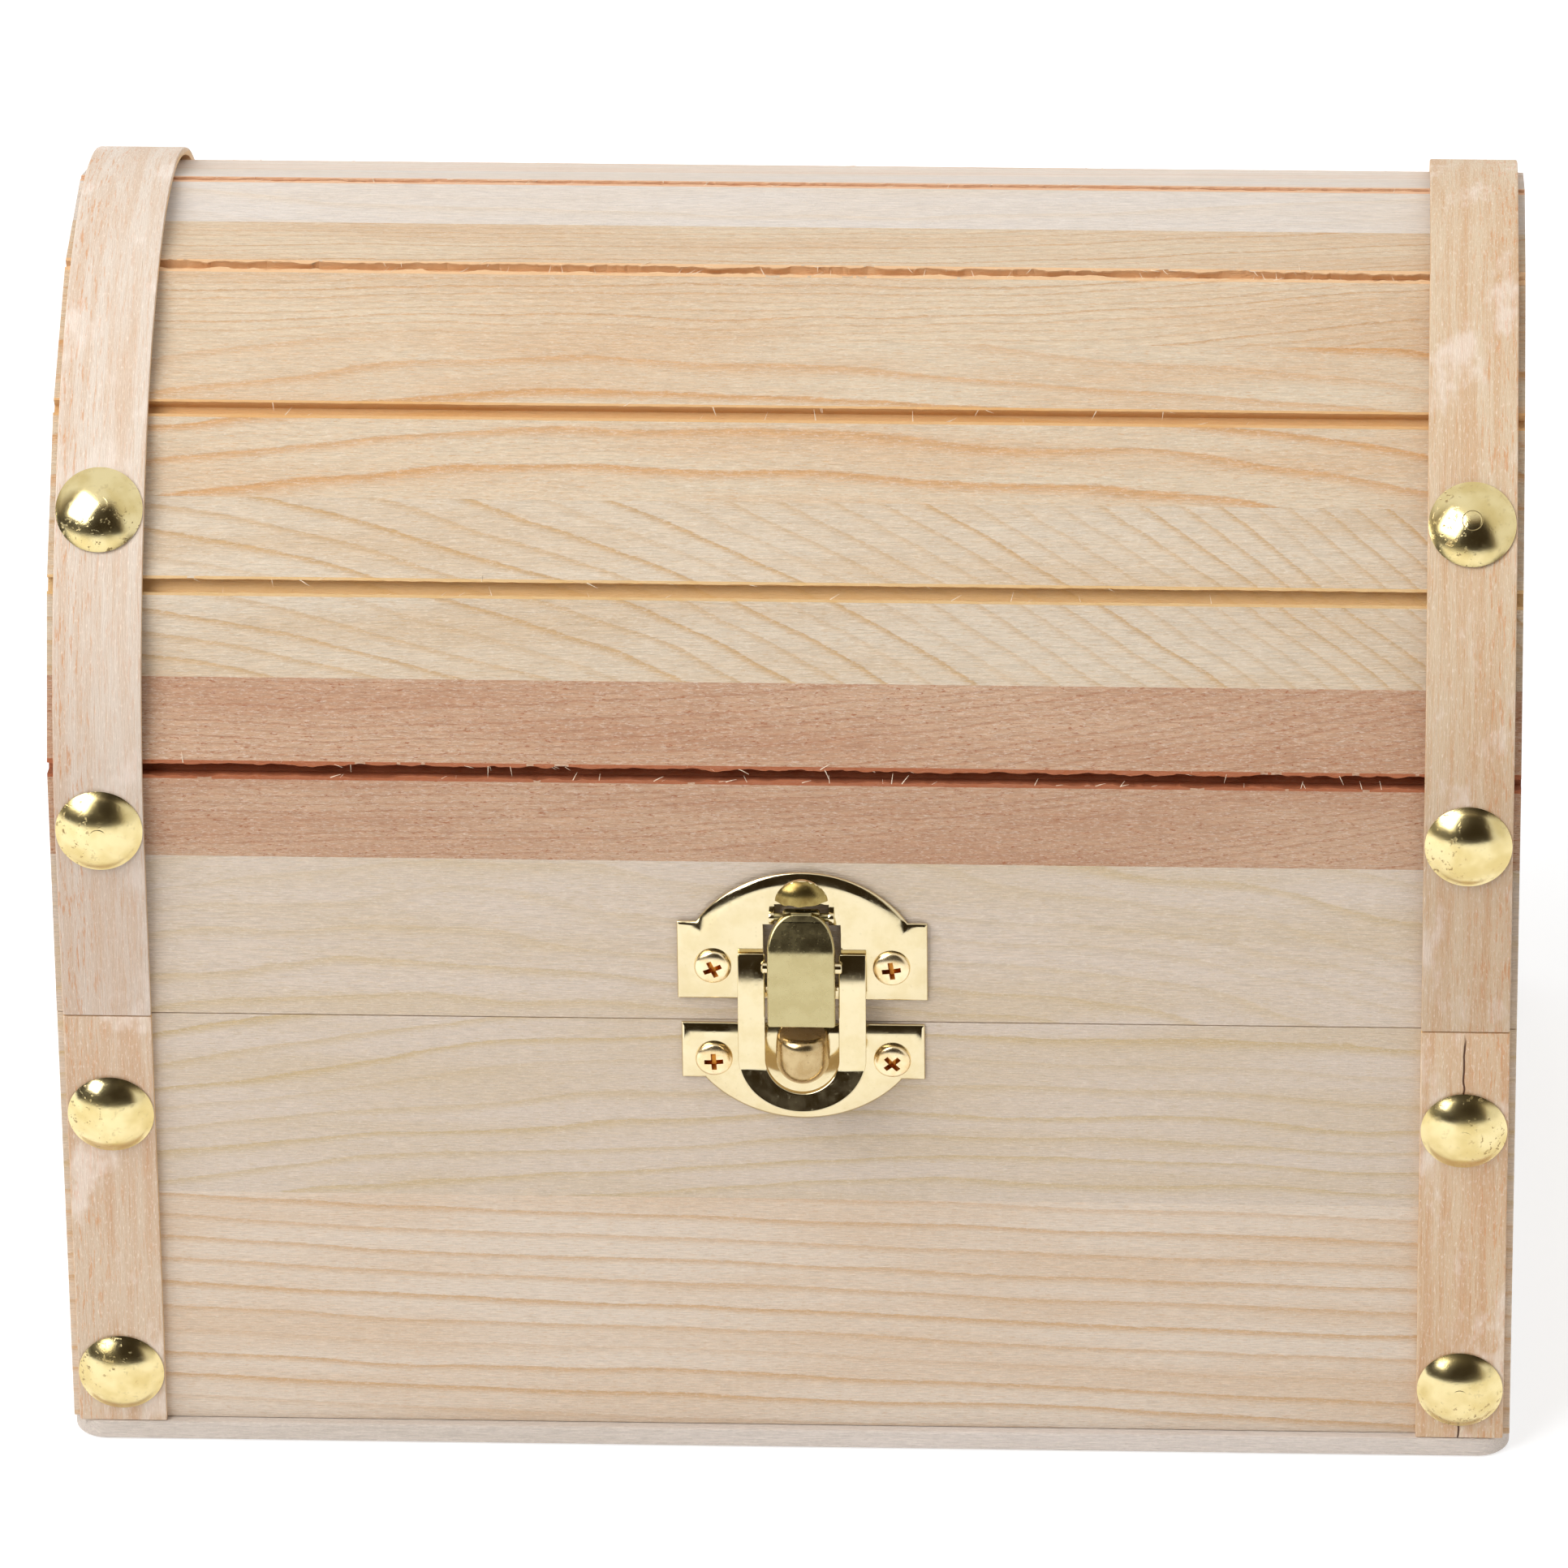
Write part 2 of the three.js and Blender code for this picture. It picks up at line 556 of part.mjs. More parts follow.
function buildUpperPlate() {
  const shoulder = UPPER_BOTTOM + UPPER_SIDE;
  const crest = shoulder + UPPER_ARCH_RISE;
  const outline = archedPlate(UPPER_HALF_WIDTH, UPPER_BOTTOM, shoulder, UPPER_ARCH_HALF, crest);
  const within = archedPlate(
    UPPER_HALF_WIDTH, UPPER_BOTTOM - 1, shoulder, UPPER_ARCH_HALF, crest, PLATE_RIM_WIDTH,
  );
  const face = extrudeOut(plateShape(outline), TOUCH, TOUCH + PLATE);
  const rim = cut(
    extrudeOut(plateShape(outline), TOUCH, TOUCH + PLATE + PLATE_RIM),
    extrudeOut(plateShape(within), TOUCH - 1, TOUCH + PLATE + PLATE_RIM + 1),
  );
  const windowHalf = LEVER_HALF_WIDTH + 0.6;
  const window = block(
    LATCH_X - windowHalf, LATCH_X + windowHalf, FRONT - 3, FRONT + 1,
    UPPER_BOTTOM + 2.2, LEVER_PIVOT_Z - LEVER_KNUCKLE - 0.4,
  );
  const notch = block(
    LATCH_X - EAR_INNER, LATCH_X + EAR_INNER, FRONT - PLATE - TOUCH - 1, FRONT + 1,
    LEVER_PIVOT_Z - LEVER_KNUCKLE - 1, LEVER_PIVOT_Z + LEVER_KNUCKLE + 0.4,
  );
  const bore = barAlongX(
    PIN_RADIUS + PIN_CLEARANCE, LATCH_X - 8, LATCH_X + 8, FRONT - LEVER_PIVOT_OUT, LEVER_PIVOT_Z,
  );
  const plate = cut(
    join(cut(face, window, notch), rim, hood(), ...leverEars()),
    bore, ...screwHoles(LATCH_SCREWS, 'upper'),
  );
  addMesh('latch_upper_plate', plate, 'brass');
  const pinHalf = EAR_INNER + EAR;
  addMesh('latch_pin', barAlongX(
    PIN_RADIUS, LATCH_X - pinHalf, LATCH_X + pinHalf, FRONT - LEVER_PIVOT_OUT, LEVER_PIVOT_Z,
  ), 'brass');
}

// The keeper's nose: round below, flat on top, swelling out to a blunt tip.
function nose() {
  const ball = new THREE.SphereGeometry(1, 24, 12);
  ball.scale(NOSE_HALF_WIDTH, NOSE_OUT, NOSE_HALF_WIDTH);
  const column = new THREE.CylinderGeometry(1, 1, NOSE_STRAIGHT, 24);
  column.rotateX(Math.PI / 2).scale(NOSE_HALF_WIDTH, NOSE_OUT, 1);
  const whole = join(
    solid(ball.translate(LATCH_X, FRONT, NOSE_Z)),
    solid(column.translate(LATCH_X, FRONT, NOSE_Z + NOSE_STRAIGHT / 2)),
  );
  const reach = NOSE_OUT + 1;
  const keep = block(
    LATCH_X - reach - 1, LATCH_X + reach + 1, FRONT - reach, FRONT - TOUCH,
    NOSE_Z - reach - 1, NOSE_Z + reach + 1,
  );
  return whole.intersect(keep);
}

function buildLowerPlate() {
  const shoulder = LOWER_TOP - LOWER_SIDE;
  const outline = archedPlate(
    LOWER_HALF_WIDTH, LOWER_TOP, shoulder, LOWER_ARCH_HALF, shoulder - LOWER_ARCH_DROP,
  );
  const face = extrudeOut(plateShape(outline), TOUCH, TOUCH + PLATE);
  const rim = block(
    LATCH_X - LOWER_HALF_WIDTH, LATCH_X + LOWER_HALF_WIDTH,
    FRONT - TOUCH - PLATE - PLATE_RIM, FRONT - TOUCH, LOWER_TOP - PLATE_RIM_WIDTH, LOWER_TOP,
  );
  const plate = cut(join(face, rim, nose()), ...screwHoles(LATCH_SCREWS, 'lower'));
  addMesh('latch_lower_plate', plate, 'brass');
}

function leverPoint(out, dz) {
  return [FRONT - out, LEVER_PIVOT_Z + dz];
}

function buildLever() {
  const inner = LEVER_OUT - LEVER_SHEET;
  const web = [
    leverPoint(LEVER_OUT, -LEVER_TAIL), leverPoint(inner, -LEVER_TAIL),
    leverPoint(inner, -LEVER_BEND - 0.3), leverPoint(LEVER_PIVOT_OUT, -LEVER_KNUCKLE),
    leverPoint(LEVER_PIVOT_OUT, LEVER_KNUCKLE), leverPoint(LEVER_PIVOT_OUT + 0.6, 0.9),
    leverPoint(LEVER_OUT, -LEVER_BEND),
  ];
  const x0 = LATCH_X - LEVER_HALF_WIDTH;
  const x1 = LATCH_X + LEVER_HALF_WIDTH;
  const sheet = join(
    extrudeAlongX(web, x0, x1),
    barAlongX(LEVER_KNUCKLE, x0, x1, FRONT - LEVER_PIVOT_OUT, LEVER_PIVOT_Z),
  );
  const archBase = LEVER_PIVOT_Z - LEVER_BEND + 0.5;
  const archRise = LEVER_BEND - 0.5 + LEVER_ARCH;
  const arch = arc(0, 0, 1, 0, Math.PI, 16)
    .map(([c, s]) => [LATCH_X + c * LEVER_HALF_WIDTH, archBase + s * archRise]);
  const plan = plateShape([
    [x0, LEVER_PIVOT_Z - LEVER_TAIL], [x1, LEVER_PIVOT_Z - LEVER_TAIL], ...arch,
  ]);
  const body = sheet.intersect(extrudeOut(plan, 0.1, LEVER_OUT + 1));
  const cheek = [
    leverPoint(inner + 0.1, -LEVER_TAIL + 0.4), leverPoint(inner - 0.6, -LEVER_TAIL + 0.4),
    leverPoint(LOOP_PIVOT_OUT - 1.2, -LOOP_PIVOT_DROP - 1.5),
    leverPoint(LOOP_PIVOT_OUT - 1.2, -LOOP_PIVOT_DROP + 1.3),
    leverPoint(LOOP_PIVOT_OUT - 0.2, -LEVER_BEND + 0.4),
    leverPoint(inner + 0.1, -LEVER_BEND + 0.4),
  ];
  const hole = barAlongX(
    LOOP_ROD + LOOP_ROD_CLEARANCE, x0 - 1, x1 + 1, FRONT - LOOP_PIVOT_OUT, LOOP_PIVOT_Z,
  );
  const earRoom = [[-8, EAR_GAP - EAR_INNER], [EAR_INNER - EAR_GAP, 8]].map(([from, to]) => (
    barAlongX(
      EAR_RADIUS + EAR_GAP, LATCH_X + from, LATCH_X + to, FRONT - LEVER_PIVOT_OUT, LEVER_PIVOT_Z,
    )
  ));
  const lever = cut(
    join(
      body,
      extrudeAlongX(cheek, x0, x0 + LEVER_CHEEK),
      extrudeAlongX(cheek, x1 - LEVER_CHEEK, x1),
    ),
    hole, ...earRoom,
    barAlongX(
      PIN_RADIUS + PIN_CLEARANCE, x0 - 1, x1 + 1, FRONT - LEVER_PIVOT_OUT, LEVER_PIVOT_Z,
    ),
  );
  addMesh('latch_lever', lever, 'brass');
}

// The loop hangs from its rod on the origin, flat in the XZ plane, front towards -Y.
function loopOutline() {
  const end = arc(0, 0, 1, Math.PI, 2 * Math.PI, 18)
    .map(([c, s]) => [c * LOOP_HALF_WIDTH, -LOOP_END_DROP + s * LOOP_LIP_DROP]);
  return polygon([[LOOP_HALF_WIDTH, LOOP_ARM_TOP], [-LOOP_HALF_WIDTH, LOOP_ARM_TOP], ...end]);
}

function loopSlot() {
  const end = arc(0, -LOOP_END_DROP, LOOP_SLOT_HALF, Math.PI, 2 * Math.PI, 14);
  return polygon([
    [LOOP_SLOT_HALF, LOOP_ARM_TOP + 1], [-LOOP_SLOT_HALF, LOOP_ARM_TOP + 1], ...end,
  ]);
}

function flatSheet(shape, thickness) {
  const geometry = new THREE.ExtrudeGeometry(shape, { depth: thickness, bevelEnabled: false });
  return solid(geometry.rotateX(Math.PI / 2).translate(0, thickness / 2, 0));
}

function buildLoop() {
  const sheet = cut(flatSheet(loopOutline(), LOOP_SHEET), flatSheet(loopSlot(), LOOP_SHEET + 2));
  const bend = -LOOP_END_DROP - LOOP_FLARE_DROP;
  const reach = LOOP_HALF_WIDTH + 1;
  const above = block(-reach, reach, -2, 2, bend, LOOP_ARM_TOP + 2);
  const below = block(-reach, reach, -2, 2, bend - LOOP_LIP_DROP, bend);
  const lip = geometryOf(sheet.intersect(below)).translate(0, 0, -bend);
  lip.rotateX(-radians(LOOP_FLARE)).translate(0, 0, bend);
  const crease = barAlongX(LOOP_SHEET / 2, -LOOP_HALF_WIDTH, LOOP_HALF_WIDTH, 0, bend, 12);
  const band = flatSheet(loopOutline(), 2 * LOOP_SHEET);
  const flat = cut(
    join(sheet.intersect(above), solid(lip), crease.intersect(band)),
    flatSheet(loopSlot(), LOOP_SHEET + 0.4),
  );
  const rod = barAlongX(LOOP_ROD, -LOOP_SLOT_HALF - 0.4, LOOP_SLOT_HALF + 0.4, 0, 0);
  addMesh('latch_loop', join(flat, rod), 'brass', {
    position: new THREE.Vector3(LATCH_X, FRONT - LOOP_PIVOT_OUT, LOOP_PIVOT_Z),
    turn: -LOOP_LEAN,
  });
}

// ---------------------------------------------------------------- hinges

// One leaf: a plate on the back of the box or lid with its share of the knuckles.
function hingeLeaf(x, way, spans) {
  const face = DEPTH / 2 + TOUCH;
  const near = HINGE_Z + way * (HINGE_KNUCKLE + HINGE_GAP);
  const far = HINGE_Z + way * HINGE_LEAF_HEIGHT;
  const [z0, z1] = [near, far].sort((a, b) => a - b);
  const plate = block(
    x - HINGE_LENGTH / 2, x + HINGE_LENGTH / 2, face, face + HINGE_LEAF, z0, z1,
  );
  const pieces = spans.flatMap(([from, to]) => {
    const [w0, w1] = [HINGE_Z, near + way * 0.2].sort((a, b) => a - b);
    return [
      barAlongX(HINGE_KNUCKLE, x + from, x + to, HINGE_Y, HINGE_Z),
      block(x + from, x + to, face, face + HINGE_LEAF, w0, w1),
    ];
  });
  const bore = barAlongX(
    HINGE_PIN + HINGE_PIN_CLEARANCE, x - HINGE_LENGTH, x + HINGE_LENGTH, HINGE_Y, HINGE_Z,
  );
  return cut(join(plate, ...pieces), bore);
}

function buildHinges() {
  const third = HINGE_LENGTH / 6;
  const outer = [
    [-HINGE_LENGTH / 2, -third - HINGE_GAP / 2], [third + HINGE_GAP / 2, HINGE_LENGTH / 2],
  ];
  const middle = [[-third + HINGE_GAP / 2, third - HINGE_GAP / 2]];
  for (const [side, sign] of [['left', -1], ['right', 1]]) {
    const x = sign * HINGE_X;
    const boxLeaf = cut(hingeLeaf(x, -1, outer), ...screwHoles(HINGE_SCREWS, `${side}_box`));
    const lidLeaf = cut(hingeLeaf(x, 1, middle), ...screwHoles(HINGE_SCREWS, `${side}_lid`));
    addMesh(`hinge_${side}_box_leaf`, boxLeaf, 'brass');
    addMesh(`hinge_${side}_lid_leaf`, lidLeaf, 'brass');
    const half = HINGE_LENGTH / 2 + 0.3;
    addMesh(`hinge_${side}_pin`, barAlongX(
      HINGE_PIN, x - half, x + half, HINGE_Y, HINGE_Z,
    ), 'brass');
  }
}

// ---------------------------------------------------------------- assembly

buildBottom();
buildBoxWalls();
buildBoxStraps();
buildLidBoard();
buildLidEnds();
buildLidStraps();
NAILS.forEach((place) => addMesh(place.name, nailBody(), 'brass', place));
buildUpperPlate();
buildLowerPlate();
buildLever();
buildLoop();
LATCH_SCREWS.forEach((place) => addMesh(
  place.name, screwBody(SCREW_HEAD, SCREW_HEAD_HEIGHT), 'brass', place,
));
buildHinges();
HINGE_SCREWS.forEach((place) => addMesh(
  place.name, screwBody(HINGE_SCREW_HEAD, HINGE_SCREW_HEAD_HEIGHT), 'brass', place,
));

export default chest;
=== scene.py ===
"""A wooden money box shaped as a small treasure chest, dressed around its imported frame.

Pine boards, a domed lid bent from one kerf-sawn board, veneer straps held by dome nails, a brass toggle
latch and two butt hinges. Metres, +Z up, the front faces -Y.
"""
import logging
import math
import random
from contextlib import contextmanager
from dataclasses import dataclass, field
from enum import Enum
from typing import Callable, Iterator, Sequence

import bmesh
import bpy
from mathutils import Matrix, Vector, noise

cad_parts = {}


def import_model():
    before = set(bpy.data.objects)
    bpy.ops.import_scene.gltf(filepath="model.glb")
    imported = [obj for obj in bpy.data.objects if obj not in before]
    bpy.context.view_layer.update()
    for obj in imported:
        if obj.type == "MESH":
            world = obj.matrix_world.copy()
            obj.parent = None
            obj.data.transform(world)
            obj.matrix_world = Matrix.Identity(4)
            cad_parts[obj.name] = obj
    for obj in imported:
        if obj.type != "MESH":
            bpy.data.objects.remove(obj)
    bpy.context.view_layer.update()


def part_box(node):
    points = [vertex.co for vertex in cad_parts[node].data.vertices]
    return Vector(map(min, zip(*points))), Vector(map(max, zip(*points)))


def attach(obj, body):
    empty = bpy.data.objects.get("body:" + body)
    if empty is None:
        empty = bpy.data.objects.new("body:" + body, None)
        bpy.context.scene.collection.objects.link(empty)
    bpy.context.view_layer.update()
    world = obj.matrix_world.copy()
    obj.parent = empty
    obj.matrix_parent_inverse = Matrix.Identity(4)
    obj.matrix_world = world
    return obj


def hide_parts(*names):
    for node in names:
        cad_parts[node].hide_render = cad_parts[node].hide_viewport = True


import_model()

log = logging.getLogger("money_box")

MM = 0.001
MERGE = 0.002 * MM
SAME = 0.001 * MM
IN_MM = (1000, 1000, 1000)
Piece = bpy.types.Object
Finish = bpy.types.Material
Socket = bpy.types.NodeSocket
Colour = tuple[float, float, float]  # also used for three plain numbers
Point = tuple[float, float]
Outline = list[Point]


class Body(Enum):
    """The bodies that a piece can ride on."""

    BOX = "box"
    LID = "lid"
    LEVER = "latch_lever"
    LOOP = "latch_loop"


class Slot(Enum):
    """The material slots of the part's record."""

    PINE = "pine"
    VENEER = "veneer"
    BRASS = "brass"


def tone(red: int, green: int, blue: int) -> Colour:
    """A display colour, 0 to 255 each and none near black, as linear light.

    Args:
        red: Red level.
        green: Green level.
        blue: Blue level.

    Returns:
        The linear colour.
    """
    return tuple(((level / 255 + 0.055) / 1.055) ** 2.4 for level in (red, green, blue))


# ---------------------------------------------------------------- hand tools


def select_only(piece: Piece) -> None:
    """Leave object mode clean, with one piece selected and active.

    Args:
        piece: The mesh object.
    """
    if bpy.context.object and bpy.context.object.mode != "OBJECT":
        bpy.ops.object.mode_set(mode="OBJECT")
    bpy.ops.object.select_all(action="DESELECT")
    piece.select_set(True)
    bpy.context.view_layer.objects.active = piece


@contextmanager
def editing(piece: Piece, mode: str = "FACE") -> Iterator[None]:
    """Hold a piece in edit mode with nothing selected.

    Args:
        piece: The mesh object.
        mode: Selection mode, VERT, EDGE or FACE.
    """
    select_only(piece)
    bpy.ops.object.mode_set(mode="EDIT")
    bpy.ops.mesh.select_mode(type=mode)
    bpy.ops.mesh.select_all(action="DESELECT")
    yield
    bpy.ops.object.mode_set(mode="OBJECT")


@contextmanager
def shaping(piece: Piece) -> Iterator[None]:
    """Hold a piece in edit mode with everything selected.

    Args:
        piece: The mesh object.
    """
    with editing(piece):
        bpy.ops.mesh.select_all(action="SELECT")
        yield


def divide(places: Sequence[Vector], way: Colour, clear: bool = False) -> None:
    """Cut all of the mesh being edited with a plane through each place.

    Args:
        places: A point of each plane.
        way: The planes' common normal.
        clear: Whether what lies past the plane is thrown away.
    """
    for place in places:
        bpy.ops.mesh.select_all(action="SELECT")
        bpy.ops.mesh.bisect(plane_co=place, plane_no=way, clear_outer=clear)


def pick_faces(piece: Piece, rule: Callable[[Vector, Vector], bool]) -> None:
    """Select the faces of a piece in edit mode whose centre and normal pass the rule.

    Args:
        piece: The mesh object.
        rule: Tells from a place and a direction what is selected.
    """
    mesh = bmesh.from_edit_mesh(piece.data)
    for face in mesh.faces:
        face.select_set(bool(rule(face.calc_center_median(), face.normal)))
    bmesh.update_edit_mesh(piece.data)


def pick_edges(piece: Piece, rule: Callable[[Vector, Vector], bool]) -> None:
    """Select the edges of a piece in edit mode whose middle and direction pass the rule.

    Args:
        piece: The mesh object.
        rule: Tells from a place and a direction what is selected.
    """
    mesh = bmesh.from_edit_mesh(piece.data)
    for edge in mesh.edges:
        first, second = edge.verts
        middle = (first.co + second.co) / 2
        edge.select_set(bool(rule(middle, (second.co - first.co).normalized())))
    bmesh.update_edit_mesh(piece.data)


def tidy_normals(piece: Piece) -> None:
    """Merge doubles and turn every face of a closed piece outwards.

    Args:
        piece: The mesh object.
    """
    with shaping(piece):
        bpy.ops.mesh.remove_doubles(threshold=MERGE)
        bpy.ops.mesh.normals_make_consistent(inside=False)


def settle(piece: Piece) -> None:
    """Put a piece's place, turn and size into its mesh."""
    select_only(piece)
    bpy.ops.object.transform_apply(location=True, rotation=True, scale=True)


def apply_modifier(piece: Piece, kind: str, **settings: object) -> None:
    """Add one modifier to a piece and apply it.

    Args:
        piece: The mesh object.
        kind: The modifier's type.
        settings: Its properties.
    """
    select_only(piece)
    modifier = piece.modifiers.new(kind.lower(), kind)
    for key, value in settings.items():
        setattr(modifier, key, value)
    bpy.ops.object.modifier_apply(modifier=modifier.name)


def soften(
    piece: Piece, width: float, segments: int = 2, angle: float = 35, clamp: bool = True,
) -> None:
    """Round the crisp edges of a piece and shade it smooth between them.

    Args:
        piece: The mesh object.
        width: Bevel width.
        segments: Steps across the bevel.
        angle: Edges sharper than this many degrees are rounded.
        clamp: Whether short edges hold the width back.
    """
    apply_modifier(
        piece, "BEVEL", width=width, segments=segments, limit_method="ANGLE",
        angle_limit=math.radians(angle), harden_normals=False, use_clamp_overlap=clamp,
    )
    smooth(piece)


def smooth(piece: Piece, angle: float = 40) -> None:
    """Shade a piece smooth, except across edges sharper than the angle in degrees.

    Args:
        piece: The mesh object.
        angle: The sharpest smooth edge.
    """
    select_only(piece)
    bpy.ops.object.shade_smooth_by_angle(angle=math.radians(angle))
    apply_modifier(piece, "WEIGHTED_NORMAL", keep_sharp=True, weight=80)


def carve(piece: Piece, tool: Piece, how: str = "DIFFERENCE") -> None:
    """Cut a piece with another, or keep what they share, and throw the tool away.

    Args:
        piece: The mesh that stays.
        tool: The mesh that cuts.
        how: DIFFERENCE, INTERSECT or UNION.
    """
    apply_modifier(piece, "BOOLEAN", operation=how, object=tool, solver="EXACT")
    bpy.data.objects.remove(tool)


def joined(name: str, pieces: Sequence[Piece]) -> Piece:
    """Join several meshes into one named piece.

    Args:
        name: The piece's name.
        pieces: The meshes, the first of which stays.

    Returns:
        The joined piece.
    """
    select_only(pieces[0])
    for piece in pieces:
        piece.select_set(True)
    bpy.ops.object.join()
    pieces[0].name = name
    return pieces[0]


def block(name: str, low: Sequence[float], high: Sequence[float]) -> Piece:
    """A rectangular blank between two corners, as stock for further shaping.

    Args:
        name: The piece's name.
        low: Lowest corner.
        high: Highest corner.

    Returns:
        The blank.
    """
    centre = [(a + b) / 2 for a, b in zip(low, high)]
    size = [b - a for a, b in zip(low, high)]
    bpy.ops.mesh.primitive_cube_add(size=1, location=centre, scale=size)
    piece = bpy.context.object
    piece.name = name
    settle(piece)
    return piece


def outline_blank(name: str, points: Sequence[Vector], push: Vector) -> Piece:
    """A flat blank with the given outline, pushed to its thickness.

    Args:
        name: The piece's name.
        points: The outline's corners in order.
        push: From the first face to the second.

    Returns:
        The blank.
    """
    bpy.ops.mesh.primitive_circle_add(vertices=len(points), radius=1, fill_type="NGON")
    piece = bpy.context.object
    piece.name = name
    for vertex, point in zip(piece.data.vertices, points):
        vertex.co = point
    with shaping(piece):
        bpy.ops.mesh.extrude_region_move(TRANSFORM_OT_translate={"value": push})
    with shaping(piece):
        bpy.ops.mesh.normals_make_consistent(inside=False)
    return piece


def plan_blank(name: str, outline: Outline, y: float, push: float) -> Piece:
    """A blank with an (x, z) outline, pushed along Y.

    Args:
        name: The piece's name.
        outline: The (x, z) outline.
        y: Where its first face lies.
        push: How far its second face lies from the first.

    Returns:
        The blank.
    """
    return outline_blank(name, [Vector((x, y, z)) for x, z in outline], Vector((0, push, 0)))


def section_blank(name: str, outline: Outline, low: float, high: float) -> Piece:
    """A blank with a (y, z) outline, from one x to another.

    Args:
        name: The piece's name.
        outline: The (y, z) outline.
        low: Lowest x.
        high: Highest x.

    Returns:
        The blank.
    """
    return outline_blank(name, [Vector((low, y, z)) for y, z in outline], Vector((high - low, 0, 0)))


def fan(start: float, turn: float, steps: int) -> Outline:
    """Points of the unit circle at even steps, in radians from a start through a turn."""
    angles = [start + turn * i / steps for i in range(steps + 1)]
    return [(math.cos(angle), math.sin(angle)) for angle in angles]


def turned(name: str, profile: Sequence[Point], sides: int) -> Piece:
    """A piece turned about Z from a profile, drawn out ring by ring from its first circle.

    Args:
        name: The piece's name.
        profile: Radius and height of each ring; a radius of 0 closes the piece.
        sides: Steps round each ring.

    Returns:
        The turned piece, closed at its first ring by a face.
    """
    radius, height = profile[0]
    bpy.ops.mesh.primitive_circle_add(
        vertices=sides, radius=radius, fill_type="NGON", location=(0, 0, height),
    )
    piece = bpy.context.object
    piece.name = name
    settle(piece)
    with editing(piece, "EDGE"):
        bpy.ops.mesh.select_all(action="SELECT")
        for next_radius, next_height in profile[1:]:
            rise = (0, 0, next_height - height)
            bpy.ops.mesh.extrude_edges_move(TRANSFORM_OT_translate={"value": rise})
            if next_radius <= 0:
                bpy.ops.mesh.merge(type="CENTER")
                break
            ratio = next_radius / radius
            bpy.ops.transform.resize(value=(ratio, ratio, 1), center_override=(0, 0, next_height))
            radius, height = next_radius, next_height
    tidy_normals(piece)
    return piece


def swept(name: str, outline: Outline, low: float, high: float, columns: int) -> Piece:
    """A closed (y, z) outline drawn out row by row into a shell along X, with capped ends.

    Args:
        name: The piece's name.
        outline: The outline's (y, z) corners in order.
        low: Lowest x.
        high: Highest x.
        columns: Steps along X.

    Returns:
        The shell.
    """
    bpy.ops.mesh.primitive_grid_add(x_subdivisions=columns, y_subdivisions=1, size=1)
    piece = bpy.context.object
    piece.name = name
    piece.scale.x = high - low
    piece.location.x = (low + high) / 2
    settle(piece)
    for vertex in piece.data.vertices:
        vertex.co.y, vertex.co.z = outline[0] if vertex.co.y < 0 else outline[1]
    with editing(piece, "EDGE"):
        here = outline[1]
        pick_edges(piece, lambda middle, way: abs(way.x) > 0.9 and on_row(middle, here))
        for point in [*outline[2:], outline[0]]:
            step = (0, point[0] - here[0], point[1] - here[1])
            bpy.ops.mesh.extrude_edges_move(TRANSFORM_OT_translate={"value": step})
            here = point
    tidy_ends(piece, low, high)
    return piece


def on_row(middle: Vector, point: Point) -> bool:
    """True if an edge's middle lies on the row at a (y, z) point."""
    return abs(middle.y - point[0]) < SAME and abs(middle.z - point[1]) < SAME


def tidy_ends(piece: Piece, low: float, high: float) -> None:
    """Close a swept shell's seam and fill both its ends.

    Args:
        piece: The shell.
        low: Lowest x.
        high: Highest x.
    """
    with shaping(piece):
        bpy.ops.mesh.remove_doubles(threshold=MERGE)
    for end in (low, high):
        with editing(piece, "EDGE"):
            pick_edges(piece, lambda middle, way: abs(middle.x - end) < SAME and abs(way.x) < 0.5)
            bpy.ops.mesh.edge_face_add()
    tidy_normals(piece)


def duplicate(piece: Piece, name: str, matrix: Matrix) -> Piece:
    """A copy of a piece with its own mesh, placed by a matrix that goes into the mesh.

    Args:
        piece: The model.
        name: The copy's name.
        matrix: Where the copy goes.

    Returns:
        The copy.
    """
    other = piece.copy()
    other.data = piece.data.copy()
    other.name = name
    other.data.transform(matrix)
    bpy.context.scene.collection.objects.link(other)
    return other


def record_grain(piece: Piece, rule: Callable[[Vector], Sequence[float]]) -> None:
    """Store where each point lies in its board: along the grain, across it and below the face.

    Args:
        piece: The wooden piece.
        rule: From a point to its three grain distances.
    """
    record(piece, "grain", rule)


def record(piece: Piece, name: str, rule: Callable[[Vector], Sequence[float]]) -> None:
    """Store three numbers at every point of a piece, under a name that its finish reads.

    Args:
        piece: The mesh object.
        name: The name.
        rule: Gives the three numbers of a point.
    """
    values = [part for vertex in piece.data.vertices for part in rule(vertex.co)]
    layer = piece.data.attributes.new(name, "FLOAT_VECTOR", "POINT")
    layer.data.foreach_set("vector", values)


def round_way(degrees: float) -> Vector:
    """The way round the dome at an angle, from the front towards the back."""
    angle = math.radians(degrees)
    return Vector((0, math.sin(angle), math.cos(angle)))


def two_finishes(piece: Piece, rule: Callable[[bpy.types.MeshPolygon], bool]) -> None:
    """Give a piece two finish slots, the second for the faces that pass the rule.

    Args:
        piece: The piece.
        rule: True for a face that takes the second finish.
    """
    for _ in range(2 - len(piece.data.materials)):
        piece.data.materials.append(None)
    for face in piece.data.polygons:
        face.material_index = int(rule(face))


def ripple(x: float, pitch: float, seed: float) -> float:
    """Smooth noise along a line, from about -1 to 1."""
    return noise.noise(Vector((x / pitch, seed * 7.31, seed * 3.17)))


# ---------------------------------------------------------------- the dome's shape


